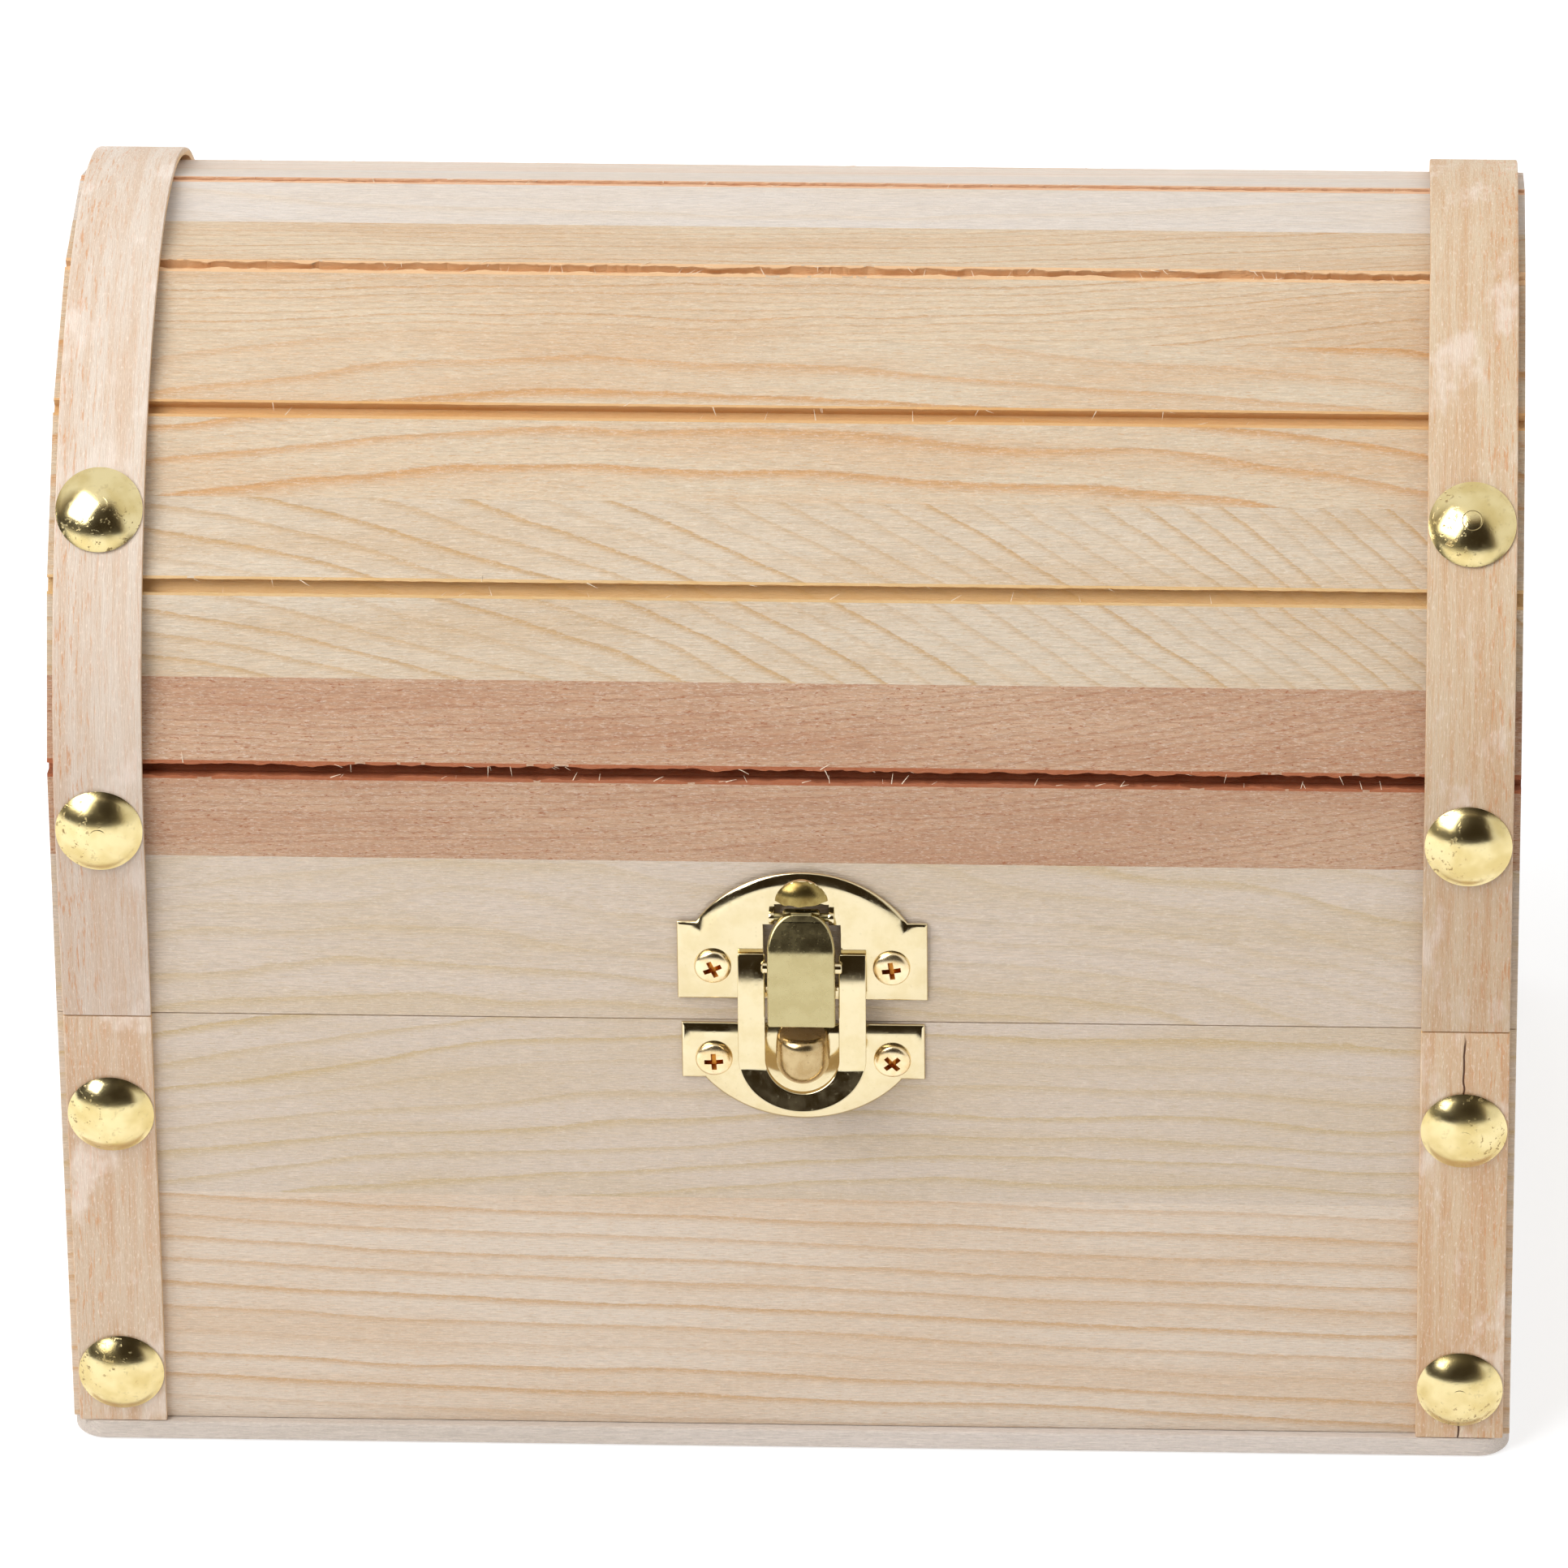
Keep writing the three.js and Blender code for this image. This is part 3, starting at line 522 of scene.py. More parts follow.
@dataclass(frozen=True)
class Dome:
    """The lid's section: straight sides, then flat facets from saw cut to saw cut."""

    spring: float = 84.3 * MM
    bottom: float = 62.12 * MM
    radius: float = 58.0 * MM
    wall: float = 5.0 * MM
    lip_rise: float = 0.65 * MM
    kerfs: int = 8
    first: float = 12.0
    kerf_width: float = 1.7 * MM
    kerf_depth: float = 3.4 * MM
    touch: float = 0.05 * MM
    strap_lift: float = 0.2 * MM

    @property
    def step(self) -> float:
        """Degrees from one saw cut to the next."""
        return (180 - 2 * self.first) / (self.kerfs - 1)

    @property
    def lip_radius(self) -> float:
        """Radius of the edges beside the cuts."""
        return self.radius + self.lip_rise

    @property
    def inner_radius(self) -> float:
        """Radius of the corners inside the lid."""
        half = math.cos(math.radians(self.step / 2))
        return (self.lip_radius * half - self.wall) / half

    def angles(self) -> list[float]:
        """Degrees round the dome of every saw cut, from the front."""
        return [self.first + self.step * i for i in range(self.kerfs)]

    def arc(self, degrees: float) -> float:
        """Distance round the outside from the front spring line to an angle, in millimetres."""
        return self.radius / MM * math.radians(degrees)

    def at(self, radius: float, degrees: float) -> Point:
        """The (y, z) point at an angle round the dome: 0 is the front, 90 the crown."""
        angle = math.radians(degrees)
        return -radius * math.cos(angle), self.spring + radius * math.sin(angle)

    def strap_radius(self, degrees: float) -> float:
        """Inside of the lid strap, which bridges the facets and meets the straight sides."""
        share = min(1.0, 0.5 + 0.5 * min(degrees, 180 - degrees) / self.first)
        return self.radius + self.touch + (self.lip_rise + self.strap_lift) * share

    def around(self, point: Vector) -> Point:
        """Where a point lies: distance round the outside from the front spring line, and depth.

        Args:
            point: A point of the lid.

        Returns:
            The distance round and the depth below the face.
        """
        if point.z < self.spring:
            depth = self.radius - abs(point.y)
            drop = point.z - self.spring
            return (drop if point.y < 0 else math.pi * self.radius - drop), depth
        rise = point.z - self.spring
        reach = math.hypot(point.y, rise)
        return self.radius * math.atan2(rise, -point.y), self.lip_radius - reach


DOME = Dome()


# ---------------------------------------------------------------- finishes


@dataclass(frozen=True)
class Streaks:
    """Noise stretched along the grain, and the levels between which it comes to show."""

    scale: Colour
    detail: float
    roughness: float
    low: float
    high: float
    most: float = 1.0


class Wiring:
    """A node tree, with short calls for the nodes that the finishes and the sky share."""

    def __init__(self, tree: bpy.types.NodeTree) -> None:
        """Start with an empty tree."""
        self.tree = tree
        self.tree.nodes.clear()

    def add(self, kind: str, **settings: object) -> bpy.types.Node:
        """A node with some of its properties set."""
        node = self.tree.nodes.new(kind)
        for key, value in settings.items():
            setattr(node, key, value)
        return node

    def feed(self, socket: Socket, value: object) -> None:
        """Link a socket to another, or give it a constant.

        Args:
            socket: The socket to fill.
            value: A number, a colour or a socket.
        """
        if isinstance(value, Socket):
            self.tree.links.new(value, socket)
        elif isinstance(value, tuple) and len(value) == 3 and socket.type == "RGBA":
            socket.default_value = (*value, 1.0)
        else:
            socket.default_value = value

    def math(self, operation: str, *values: object, clamp: bool = False) -> Socket:
        """One arithmetic step on numbers or sockets.

        Args:
            operation: The name of the step.
            values: Numbers or sockets.

        Returns:
            The result.
        """
        node = self.add("ShaderNodeMath", operation=operation, use_clamp=clamp)
        for socket, value in zip(node.inputs, values):
            self.feed(socket, value)
        return node.outputs[0]

    def mix(self, share: object, first: object, second: object, blend: str = "MIX") -> Socket:
        """One colour mixed with another by a share.

        Args:
            share: How much of the second, 0 to 1.
            first: The colour at 0.
            second: The colour at 1.
            blend: How the two are blended.

        Returns:
            The mixed colour.
        """
        node = self.add("ShaderNodeMix", data_type="RGBA", blend_type=blend)
        self.feed(node.inputs[0], share)
        self.feed(node.inputs[6], first)
        self.feed(node.inputs[7], second)
        return node.outputs[2]

    def stretch(self, vector: object, scale: Colour, shift: Colour = (0, 0, 0)) -> Socket:
        """A vector scaled on each axis and shifted.

        Args:
            vector: A vector socket.
            scale: The scale.
            shift: Added after scaling.

        Returns:
            The new vector.
        """
        node = self.add("ShaderNodeMapping")
        self.feed(node.inputs["Vector"], vector)
        node.inputs["Scale"].default_value = scale
        node.inputs["Location"].default_value = shift
        return node.outputs[0]

    def noise(self, vector: object, detail: float = 2, roughness: float = 0.5, scale: float = 1) -> Socket:
        """Smooth noise from 0 to 1.

        Args:
            vector: A vector socket.
            detail: How many finer layers it has.
            roughness: How strong the finer layers are.
            scale: The scale.

        Returns:
            The noise.
        """
        node = self.add("ShaderNodeTexNoise")
        self.feed(node.inputs["Vector"], vector)
        node.inputs["Scale"].default_value = scale
        node.inputs["Detail"].default_value = detail
        node.inputs["Roughness"].default_value = roughness
        return node.outputs[0]

    def window(self, value: object, low: float, high: float, start: float = 0, end: float = 1) -> Socket:
        """A smooth step from start to end as the value goes from low to high.

        Args:
            value: A number, a colour or a socket.
            low: The lower end.
            high: The upper end.
            start: The result at the low end.
            end: The result at the high end.

        Returns:
            The result.
        """
        node = self.add("ShaderNodeMapRange", interpolation_type="SMOOTHSTEP")
        for socket, number in zip(node.inputs, (value, low, high, start, end)):
            self.feed(socket, number)
        return node.outputs[0]

    def steps(self, share: object, stops: Sequence[tuple[float, Colour]]) -> Socket:
        """A colour that jumps at each stop, without blending.

        Args:
            share: How much of the second, 0 to 1.
            stops: Places, 0 to 1, with colours.

        Returns:
            The colour.
        """
        node = self.add("ShaderNodeValToRGB")
        node.color_ramp.interpolation = "CONSTANT"
        elements = node.color_ramp.elements
        while len(elements) > 1:
            elements.remove(elements[-1])
        elements[0].position, elements[0].color = stops[0][0], (*stops[0][1], 1)
        for place, colour in stops[1:]:
            elements.new(place).color = (*colour, 1)
        self.feed(node.inputs[0], share)
        return node.outputs[0]

    def split(self, vector: object) -> tuple:
        """The three parts of a vector.

        Args:
            vector: A vector socket.

        Returns:
            The parts.
        """
        node = self.add("ShaderNodeSeparateXYZ")
        self.feed(node.inputs[0], vector)
        return node.outputs[0], node.outputs[1], node.outputs[2]

    def streaks(self, grain: object, look: Streaks, shift: Colour = (0, 0, 0)) -> tuple:
        """Stretched noise, and the share to which it shows."""
        noise_level = self.noise(self.stretch(grain, look.scale, shift), look.detail, look.roughness)
        return noise_level, self.window(noise_level, look.low, look.high, 0, look.most)

    def grey(self, *levels: object) -> Socket:
        """A colour from one level for all its channels, or from one for each.

        Args:
            levels: Numbers or sockets.

        Returns:
            The colour.
        """
        node = self.add("ShaderNodeCombineColor")
        for socket, level in zip(node.inputs, levels * (3 // len(levels))):
            self.feed(socket, level)
        return node.outputs[0]


class Bench(Wiring):
    """One material's node tree, with its shader."""

    def __init__(self, name: str) -> None:
        """Start a material that holds only a shader and its output.

        Args:
            name: The name.
        """
        self.material = bpy.data.materials.new(name)
        self.material.use_nodes = True
        super().__init__(self.material.node_tree)
        self.shader = self.add("ShaderNodeBsdfPrincipled")
        output = self.add("ShaderNodeOutputMaterial")
        self.tree.links.new(self.shader.outputs["BSDF"], output.inputs["Surface"])

    def coat(self, colour: object, rough: object, others: dict[str, float]) -> None:
        """Set the shader's colour, its roughness, and other inputs by their names."""
        for name, value in {"Base Color": colour, "Roughness": rough, **others}.items():
            self.feed(self.shader.inputs[name], value)

    def attribute(self, name: str) -> Socket:
        """A vector stored on the mesh."""
        return self.add("ShaderNodeAttribute", attribute_name=name).outputs["Vector"]

    def place(self) -> Socket:
        """The point in the object's own coordinates."""
        return self.add("ShaderNodeTexCoord").outputs["Object"]

    def bump(self, height: object, distance: float, strength: float = 1) -> None:
        """Shape the shader's normal by a height in units of the distance.

        Args:
            height: The height.
            distance: How high 1 stands, in metres.
            strength: How much it shows.
        """
        node = self.add("ShaderNodeBump")
        self.feed(node.inputs["Height"], height)
        node.inputs["Distance"].default_value = distance
        node.inputs["Strength"].default_value = strength
        self.feed(self.shader.inputs["Normal"], node.outputs[0])


@dataclass(frozen=True)
class Stave:
    """One glued strip of a pine panel; lengths in millimetres."""

    width: float
    early: Colour
    late: Colour
    spacing: float = 3.0
    slope: float = 0.0
    curve: float = 0.0
    contrast: float = 0.5
    flecks: float = 0.0
    wobble: float = 0.4


@dataclass(frozen=True)
class Pine:
    """Edge-glued pine: growth rings drawn per stave, fibres, flecks and raised fuzz."""

    name: str
    start: float
    staves: tuple[Stave, ...]
    sawn: tuple[Colour, ...] = ()
    seed: float = 0.0

    DRIFT = Streaks((0.018, 0.16, 0.2), 3, 0.5, 0.35, 0.70, 0.35)
    FLECK = Streaks((1.1, 3.4, 3.4), 2, 0.7, 0.60, 0.70)
    FUZZ = Streaks((1.5, 6.2, 6.2), 4, 0.75, 0.50, 0.68, 0.42)
    PORE = Streaks((0.7, 5.0, 5.0), 3, 0.7, 0.54, 0.68, 0.42)
    FLECK_TINT = tone(168, 104, 68)
    FUZZ_TINT = tone(246, 236, 222)
    SLOPE_SPAN = 1.0
    CURVE_SPAN = 0.004
    SPACING_SPAN = 8.0
    HALF_LENGTH = 90.0

    def cut_bounds(self) -> list[float]:
        """Where each saw cut's tint, its sawn colour with painted light and shade, starts, as a share of the
        way over the dome.
        """
        half = DOME.step / 2 / 180
        return [max(0.0, degrees / 180 - half) for degrees in DOME.angles()]

    def stops(self, pick: Callable[[Stave], Colour]) -> list[tuple[float, Colour]]:
        """Each stave's place across the panel with one of its values.

        Args:
            pick: Takes the value from a stave.

        Returns:
            Places, 0 to 1, with values.
        """
        total = sum(stave.width for stave in self.staves)
        places, here = [], 0.0
        for stave in self.staves:
            places.append((here / total, pick(stave)))
            here += stave.width
        return places

    def build(self) -> Finish:
        """Make the material.

        Returns:
            The material.
        """
        bench = Bench(self.name)
        grain = bench.stretch(bench.attribute("grain"), IN_MM)
        along, across, depth = bench.split(grain)
        total = sum(stave.width for stave in self.staves)
        share = bench.math("DIVIDE", bench.math("SUBTRACT", across, self.start), total)
        early = bench.steps(share, self.stops(lambda stave: stave.early))
        late = bench.steps(share, self.stops(lambda stave: stave.late))
        lay = bench.split(bench.steps(share, self.stops(self.lay_of)))
        mood = bench.split(bench.steps(share, self.stops(
            lambda stave: (stave.contrast, stave.flecks, stave.wobble))))
        ring = self.rings(bench, grain, (along, across, depth), lay, mood)
        colour = bench.mix(ring, early, late)
        drift_share = bench.streaks(grain, self.DRIFT, (self.seed, 3, 0))[1]
        colour = bench.mix(drift_share, colour, late)
        fibre = bench.noise(bench.stretch(grain, (0.45, 7, 7), (0, self.seed, 0)), 3, 0.6)
        shade = bench.window(fibre, 0.28, 0.72, 0.90, 1.12)
        colour = bench.mix(1.0, colour, bench.grey(shade), "MULTIPLY")
        fleck_share = bench.streaks(grain, self.FLECK, (self.seed, 0, 0))[1]
        colour = bench.mix(bench.math("MULTIPLY", fleck_share, mood[1]), colour, self.FLECK_TINT)
        fuzz, fuzz_share = bench.streaks(grain, self.FUZZ)
        colour = bench.mix(fuzz_share, colour, self.FUZZ_TINT)
        pore_share = bench.streaks(grain, self.PORE, (7, self.seed, 0))[1]
        colour = bench.mix(pore_share, colour, late)
        # Painted light and shade in the saw cuts: each cut's wall tint is its sawn colour, made paler or
        # darker by how much light that cut gets.
        if self.sawn:
            share = bench.math("DIVIDE", across, DOME.arc(180))
            cut_tint_and_shade = bench.steps(share, list(zip(self.cut_bounds(), self.sawn)))
            colour = bench.mix(0.8, colour, cut_tint_and_shade)
        bench.coat(colour, bench.window(fibre, 0.2, 0.8, 0.62, 0.82), {"Specular IOR Level": 0.25})
        height = bench.math("ADD", bench.math("MULTIPLY", fibre, 0.6), bench.math("MULTIPLY", fuzz, 0.8))
        height = bench.math("SUBTRACT", height, bench.math("MULTIPLY", ring, 0.25))
        bench.bump(height, 0.34 * MM, 0.8)
        return bench.material

    def lay_of(self, stave: Stave) -> Colour:
        """A stave's slope, curve and ring spacing, each brought to 0 to 1.

        Args:
            stave: The stave.

        Returns:
            The three shares.
        """
        return (
            stave.slope / self.SLOPE_SPAN / 2 + 0.5,
            stave.curve / self.CURVE_SPAN / 2 + 0.5,
            stave.spacing / self.SPACING_SPAN,
        )

    def rings(self, bench: Bench, grain: object, parts: tuple, lay: tuple, mood: tuple) -> Socket:
        """How much latewood each point has.

        Args:
            bench: The material's bench.
            grain: Grain distances in millimetres.
            parts: The same, split.
            lay: The stave's slope, curve and spacing, each 0 to 1.
            mood: The stave's contrast, flecks and wobble.

        Returns:
            A socket from 0 to 1.
        """
        along, across, depth = parts
        run = bench.math("ADD", along, self.HALF_LENGTH)
        slope = bench.math("MULTIPLY_ADD", lay[0], 2 * self.SLOPE_SPAN, -self.SLOPE_SPAN)
        curve = bench.math("MULTIPLY_ADD", lay[1], 2 * self.CURVE_SPAN, -self.CURVE_SPAN)
        bend = bench.math("MULTIPLY_ADD", curve, run, slope)
        line = bench.math("SUBTRACT", across, bench.math("MULTIPLY", bend, run))
        line = bench.math("MULTIPLY_ADD", depth, 0.7, line)
        sway = bench.noise(bench.stretch(grain, (0.016, 0.05, 0.05), (self.seed * 3, 0, 0)), 2)
        stir = bench.noise(bench.stretch(grain, (0.07, 0.28, 0.3), (0, self.seed * 5, 0)), 3)
        hair = bench.noise(bench.stretch(grain, (0.7, 4, 4)), 3, 0.7)
        wave = bench.math("MULTIPLY", bench.math("SUBTRACT", sway, 0.5), 22.0)
        wave = bench.math("MULTIPLY_ADD", bench.math("SUBTRACT", stir, 0.5), 3.0, wave)
        line = bench.math("MULTIPLY_ADD", wave, mood[2], line)
        line = bench.math("MULTIPLY_ADD", bench.math("SUBTRACT", hair, 0.5), 0.7, line)
        phase = bench.math("DIVIDE", line, bench.math("MULTIPLY", lay[2], self.SPACING_SPAN))
        ring = bench.math("FRACT", phase)
        number = bench.math("FLOOR", phase)
        chance = bench.add("ShaderNodeTexWhiteNoise", noise_dimensions="1D")
        bench.feed(chance.inputs["W"], number)
        strength = bench.window(chance.outputs["Value"], 0.0, 1.0, 0.35, 1.0)
        rise = bench.window(ring, 0.50, 0.93)
        fall = bench.window(ring, 0.93, 1.0, 1.0, 0.0)
        late = bench.math("MULTIPLY", bench.math("MULTIPLY", rise, rise), fall)
        return bench.math("MULTIPLY", bench.math("MULTIPLY", late, strength), mood[0], clamp=True)


PALE = dict(early=tone(218, 201, 185), late=tone(204, 177, 130))
REDDISH = Stave(23.2, tone(203, 167, 138), tone(168, 106, 70), 1.05, -0.05, 0.0008, 0.45, 0.85, 0.25)
YELLOW = Stave(22.6, tone(220, 203, 181), tone(202, 163, 114), 3.1, -0.08, -0.0022, 0.85, 0.05, 0.22)
TAN = Stave(22.3, tone(221, 202, 176), tone(210, 154, 94), 4.9, 0.16, -0.0010, 0.9, 0.08, 0.35)
FINE = Stave(22.2, tone(223, 202, 174), tone(206, 158, 110), 1.3, -0.03, 0.0004, 0.75, 0.14, 0.30)
WHITE = Stave(22.7, tone(227, 216, 206), tone(226, 206, 182), 5.0, -0.10, 0.0006, 0.5, 0.0, 0.5)
PINK = Stave(22.5, tone(235, 221, 208), tone(222, 190, 160), 2.6, -0.02, 0.0003, 0.5, 0.1, 0.3)
BANDED = Stave(26.0, **PALE, spacing=3.6, slope=0.17, curve=-0.0007, contrast=0.8, wobble=0.35)
LINED = Stave(36.0, tone(227, 210, 192), tone(208, 166, 118), 3.3, -0.035, 0.0, 0.8, 0.03, 0.16)

LID_PINE = Pine("pine_lid", -22.3, (
    Stave(22.3, **PALE, spacing=4.4, slope=0.12, curve=-0.0011, contrast=0.7, wobble=0.6),
    REDDISH, YELLOW, TAN, FINE, WHITE, PINK, TAN, YELLOW, FINE, LINED,
), seed=1.0)
# The saw cuts' walls: sawn orange-brown, plus painted light and shade, each cut paler or darker by how much
# light reaches into it, palest near the crown and darkest in the lowest cuts.
RUSTY, AMBER, GOLDEN = tone(196, 128, 76), tone(226, 160, 98), tone(232, 190, 128)
LID_SAWN = Pine("pine_sawn", -22.3, LID_PINE.staves, (
    tone(172, 88, 44), GOLDEN, tone(232, 180, 116), tone(246, 200, 150), tone(240, 184, 136),
    AMBER, GOLDEN, RUSTY,
), seed=1.0)
SEAM_PINE = Pine("pine_seam", -22.3, LID_PINE.staves, (tone(224, 194, 162),) * 8, seed=1.0)
BOX_PINE = Pine("pine_box", 0.0, (LINED, BANDED), seed=2.0)
END_PINE = Pine("pine_end", -70.0, (LINED, FINE, BANDED, TAN, LINED, PINK), seed=3.0)
BASE_PINE = Pine("pine_base", -62.0, (
    Stave(124.0, tone(222, 210, 201), tone(196, 182, 166), 3.2, 0.01, 0.0, 0.5, 0.05, 0.4),
), seed=4.0)


@dataclass(frozen=True)
class Veneer:
    """Thin strap veneer: lengthwise streaks, orange flecks, a split on some straps, and painted shade that
    darkens the lid straps towards their low ends.
    """

    name: str
    ground: Colour
    streak: Colour
    seed: float
    low_shade_tint: Colour = (1, 1, 1)
    split_across: float = 0.0
    split_spans: tuple[Point, ...] = ()

    WIDE = Streaks((0.03, 0.55, 0.5), 3, 0.6, 0.38, 0.66, 0.55)
    THIN = Streaks((0.10, 2.6, 2), 4, 0.65, 0.52, 0.68, 0.55)
    DASH = Streaks((0.26, 2.4, 2), 3, 0.7, 0.53, 0.64)
    SCUFF = Streaks((0.07, 0.11, 0.1), 4, 0.65, 0.52, 0.66, 0.5)
    FLAKE = Streaks((1.2, 3.6, 4), 4, 0.7, 0.52, 0.70, 0.5)
    DASH_TINT = tone(206, 146, 98)
    SCUFF_TINT = tone(242, 230, 220)
    FLAKE_TINT = tone(247, 234, 218)
    EDGE_TINT = tone(234, 192, 128)
    FIBRE_TINT = tone(150, 110, 80)
    SPLIT_TINT = tone(78, 44, 26)
    LOW_SHADE_REACH = 48.0

    def build(self) -> Finish:
        """Make the material.

        Returns:
            The material.
        """
        bench = Bench(self.name)
        grain = bench.stretch(bench.attribute("grain"), IN_MM)
        along, across, depth = bench.split(grain)
        shift = (self.seed * 11, self.seed * 5, 0)
        fibre = bench.noise(bench.stretch(grain, (0.5, 8, 8), shift), 2, 0.6)
        wide_share = bench.streaks(grain, self.WIDE, shift)[1]
        thin, thin_share = bench.streaks(grain, self.THIN, shift)
        flake, flake_share = bench.streaks(grain, self.FLAKE, shift)
        scuff_share = bench.streaks(grain, self.SCUFF, (shift[1], 0, 0))[1]
        dash_share = bench.streaks(grain, self.DASH, (shift[1], shift[0], 0))[1]
        outer = bench.window(bench.math("ABSOLUTE", across), 82.5, 87.5, 0.35, 1.0)
        dash_share = bench.math("MULTIPLY", bench.math("MULTIPLY", dash_share, outer), 0.7)
        colour = self.ground
        for share, tint in (
            (wide_share, self.streak), (thin_share, self.streak), (dash_share, self.DASH_TINT),
            (scuff_share, self.SCUFF_TINT), (flake_share, self.FLAKE_TINT),
            (bench.window(depth, 0.08, 0.32, 0, 0.8), self.EDGE_TINT),
            (bench.window(fibre, 0.25, 0.75, 0.0, 0.12), self.FIBRE_TINT),
        ):
            colour = bench.mix(share, colour, tint)
        # Painted shade: the colour is multiplied darker near either end of the strap, over the lid's straight
        # sides and the low part of the curve.
        reach = bench.math("MINIMUM", along, bench.math("SUBTRACT", DOME.arc(180), along))
        painted_low_shade_share = bench.window(reach, 0.0, self.LOW_SHADE_REACH, 1, 0)
        colour = bench.mix(painted_low_shade_share, colour, self.low_shade_tint, "MULTIPLY")
        split = self.split(bench, along, across)
        if split is not None:
            colour = bench.mix(split, colour, self.SPLIT_TINT)
        bench.coat(colour, bench.window(fibre, 0.2, 0.8, 0.52, 0.72), {"Specular IOR Level": 0.3})
        height = bench.math("ADD", bench.math("MULTIPLY", fibre, 0.5), bench.math("MULTIPLY", flake, 0.5))
        height = bench.math("MULTIPLY_ADD", thin, -0.3, height)
        if split is not None:
            height = bench.math("MULTIPLY_ADD", split, -1.5, height)
        bench.bump(height, 0.22 * MM, 0.7)
        return bench.material

    def split(self, bench: Bench, along: object, across: object) -> Socket | None:
        """The share of a point that lies in the strap's crack, or None where it has none.

        Args:
            bench: The material's bench.
            along: Distance along the grain in millimetres.
            across: Distance across the grain in millimetres.

        Returns:
            The parts.
        """
        if not self.split_spans:
            return None
        jitter = bench.noise(bench.stretch(bench.attribute("grain"), (220, 0, 0)), 2)
        line = bench.math("MULTIPLY_ADD", jitter, 1.4, self.split_across - 0.7)
        away = bench.math("ABSOLUTE", bench.math("SUBTRACT", across, line))
        narrow = bench.window(away, 0.04, 0.16, 1, 0)
        total = None
        for low, high in self.split_spans:
            inside = bench.math(
                "MULTIPLY", bench.window(along, low, low + 2), bench.window(along, high - 2, high, 1, 0),
            )
            total = inside if total is None else bench.math("MAXIMUM", total, inside)
        return bench.math("MULTIPLY", narrow, total)


@dataclass(frozen=True)
class Brass:
    """Plated brass: slightly uneven tint and gloss, fine scratches and small dings."""

    name: str
    bright: Colour
    dull: Colour
    gloss: float
    scratch: float = 0.35
    dings: float = 0.0

    def build(self) -> Finish:
        """Make the material.

        Returns:
            The material.
        """
        bench = Bench(self.name)
        place = bench.stretch(bench.place(), IN_MM)
        cloud = bench.noise(place, 3, 0.6, 0.35)
        speck = bench.noise(place, 2, 0.6, 2.2)
        brushed = bench.noise(bench.stretch(place, (5, 5, 0.5)), 2, 0.6)
        colour = bench.mix(bench.window(cloud, 0.35, 0.7), self.bright, self.dull)
        stain = bench.window(speck, 0.66, 0.74, 0, 0.55 * self.dings)
        colour = bench.mix(stain, colour, tone(112, 84, 52))
        rough = bench.window(cloud, 0.3, 0.7, self.gloss, self.gloss + 0.10)
        rough = bench.math("MULTIPLY_ADD", bench.window(speck, 0.6, 0.75), 0.12, rough)
        bench.coat(colour, rough, {"Metallic": 1.0})
        height = bench.math("MULTIPLY", brushed, self.scratch)
        height = bench.math("MULTIPLY_ADD", bench.window(speck, 0.60, 0.75), -self.dings, height)
        bench.bump(height, 0.02 * MM, 0.4)
        return bench.material


@dataclass(frozen=True)
class NailBrass:
    """Plated nail heads: the punch's ring near the crown, dings and worn patches, in the nail's own place."""

    name: str = "brass_nails"
    bright: Colour = tone(236, 219, 166)
    dull: Colour = tone(218, 196, 134)

    RING = 1.15
    RING_WIDTH = 0.16

    def build(self) -> Finish:
        """Make the material.

        Returns:
            The material.
        """
        bench = Bench(self.name)
        local = bench.stretch(bench.attribute("nail"), IN_MM)
        place = bench.stretch(bench.place(), IN_MM)
        x, y, _ = bench.split(local)
        square = bench.math("ADD", bench.math("MULTIPLY", x, x), bench.math("MULTIPLY", y, y))
        reach = bench.math("SQRT", square)
        off = bench.math("ABSOLUTE", bench.math("SUBTRACT", reach, self.RING))
        ring = bench.window(off, 0.0, self.RING_WIDTH, 1, 0)
        patch = bench.window(bench.noise(place, 2, 0.5, 0.22), 0.42, 0.58)
        ring = bench.math("MULTIPLY", ring, patch)
        dent = bench.noise(place, 3, 0.65, 1.3)
        cloud = bench.noise(place, 2, 0.5, 0.3)
        worn = bench.window(dent, 0.58, 0.68)
        colour = bench.mix(bench.window(cloud, 0.3, 0.7), self.bright, self.dull)
        low = bench.window(y, 0.5, -3.0)
        worn = bench.math("MULTIPLY", worn, bench.math("MULTIPLY_ADD", low, 0.8, 0.2))
        colour = bench.mix(bench.math("MULTIPLY", worn, 0.75), colour, tone(128, 98, 58))
        rough = bench.math("MULTIPLY_ADD", worn, 0.2, bench.window(cloud, 0.3, 0.7, 0.16, 0.24))
        bench.coat(colour, rough, {"Metallic": 1.0})
        height = bench.math("MULTIPLY_ADD", worn, -0.7, bench.math("MULTIPLY", dent, 0.25))
        height = bench.math("MULTIPLY_ADD", ring, -0.8, height)
        bench.bump(height, 0.05 * MM, 0.6)
        return bench.material


PLATE_BRASS = Brass("brass_plates", tone(229, 214, 176), tone(224, 207, 164), 0.07, 0.10, 0.15)
LEVER_BRASS = Brass("brass_lever", tone(190, 177, 132), tone(184, 170, 124), 0.20, 1.1, 0.10)
# Painted dark reflection: the raised hood is darker brass, standing for the dark surroundings it mirrors.
HOOD_DARK_REFLECTION_BRASS = Brass("brass_hood_painted_dark", tone(164, 144, 88), tone(126, 104, 56), 0.22, 0.4, 0.4)
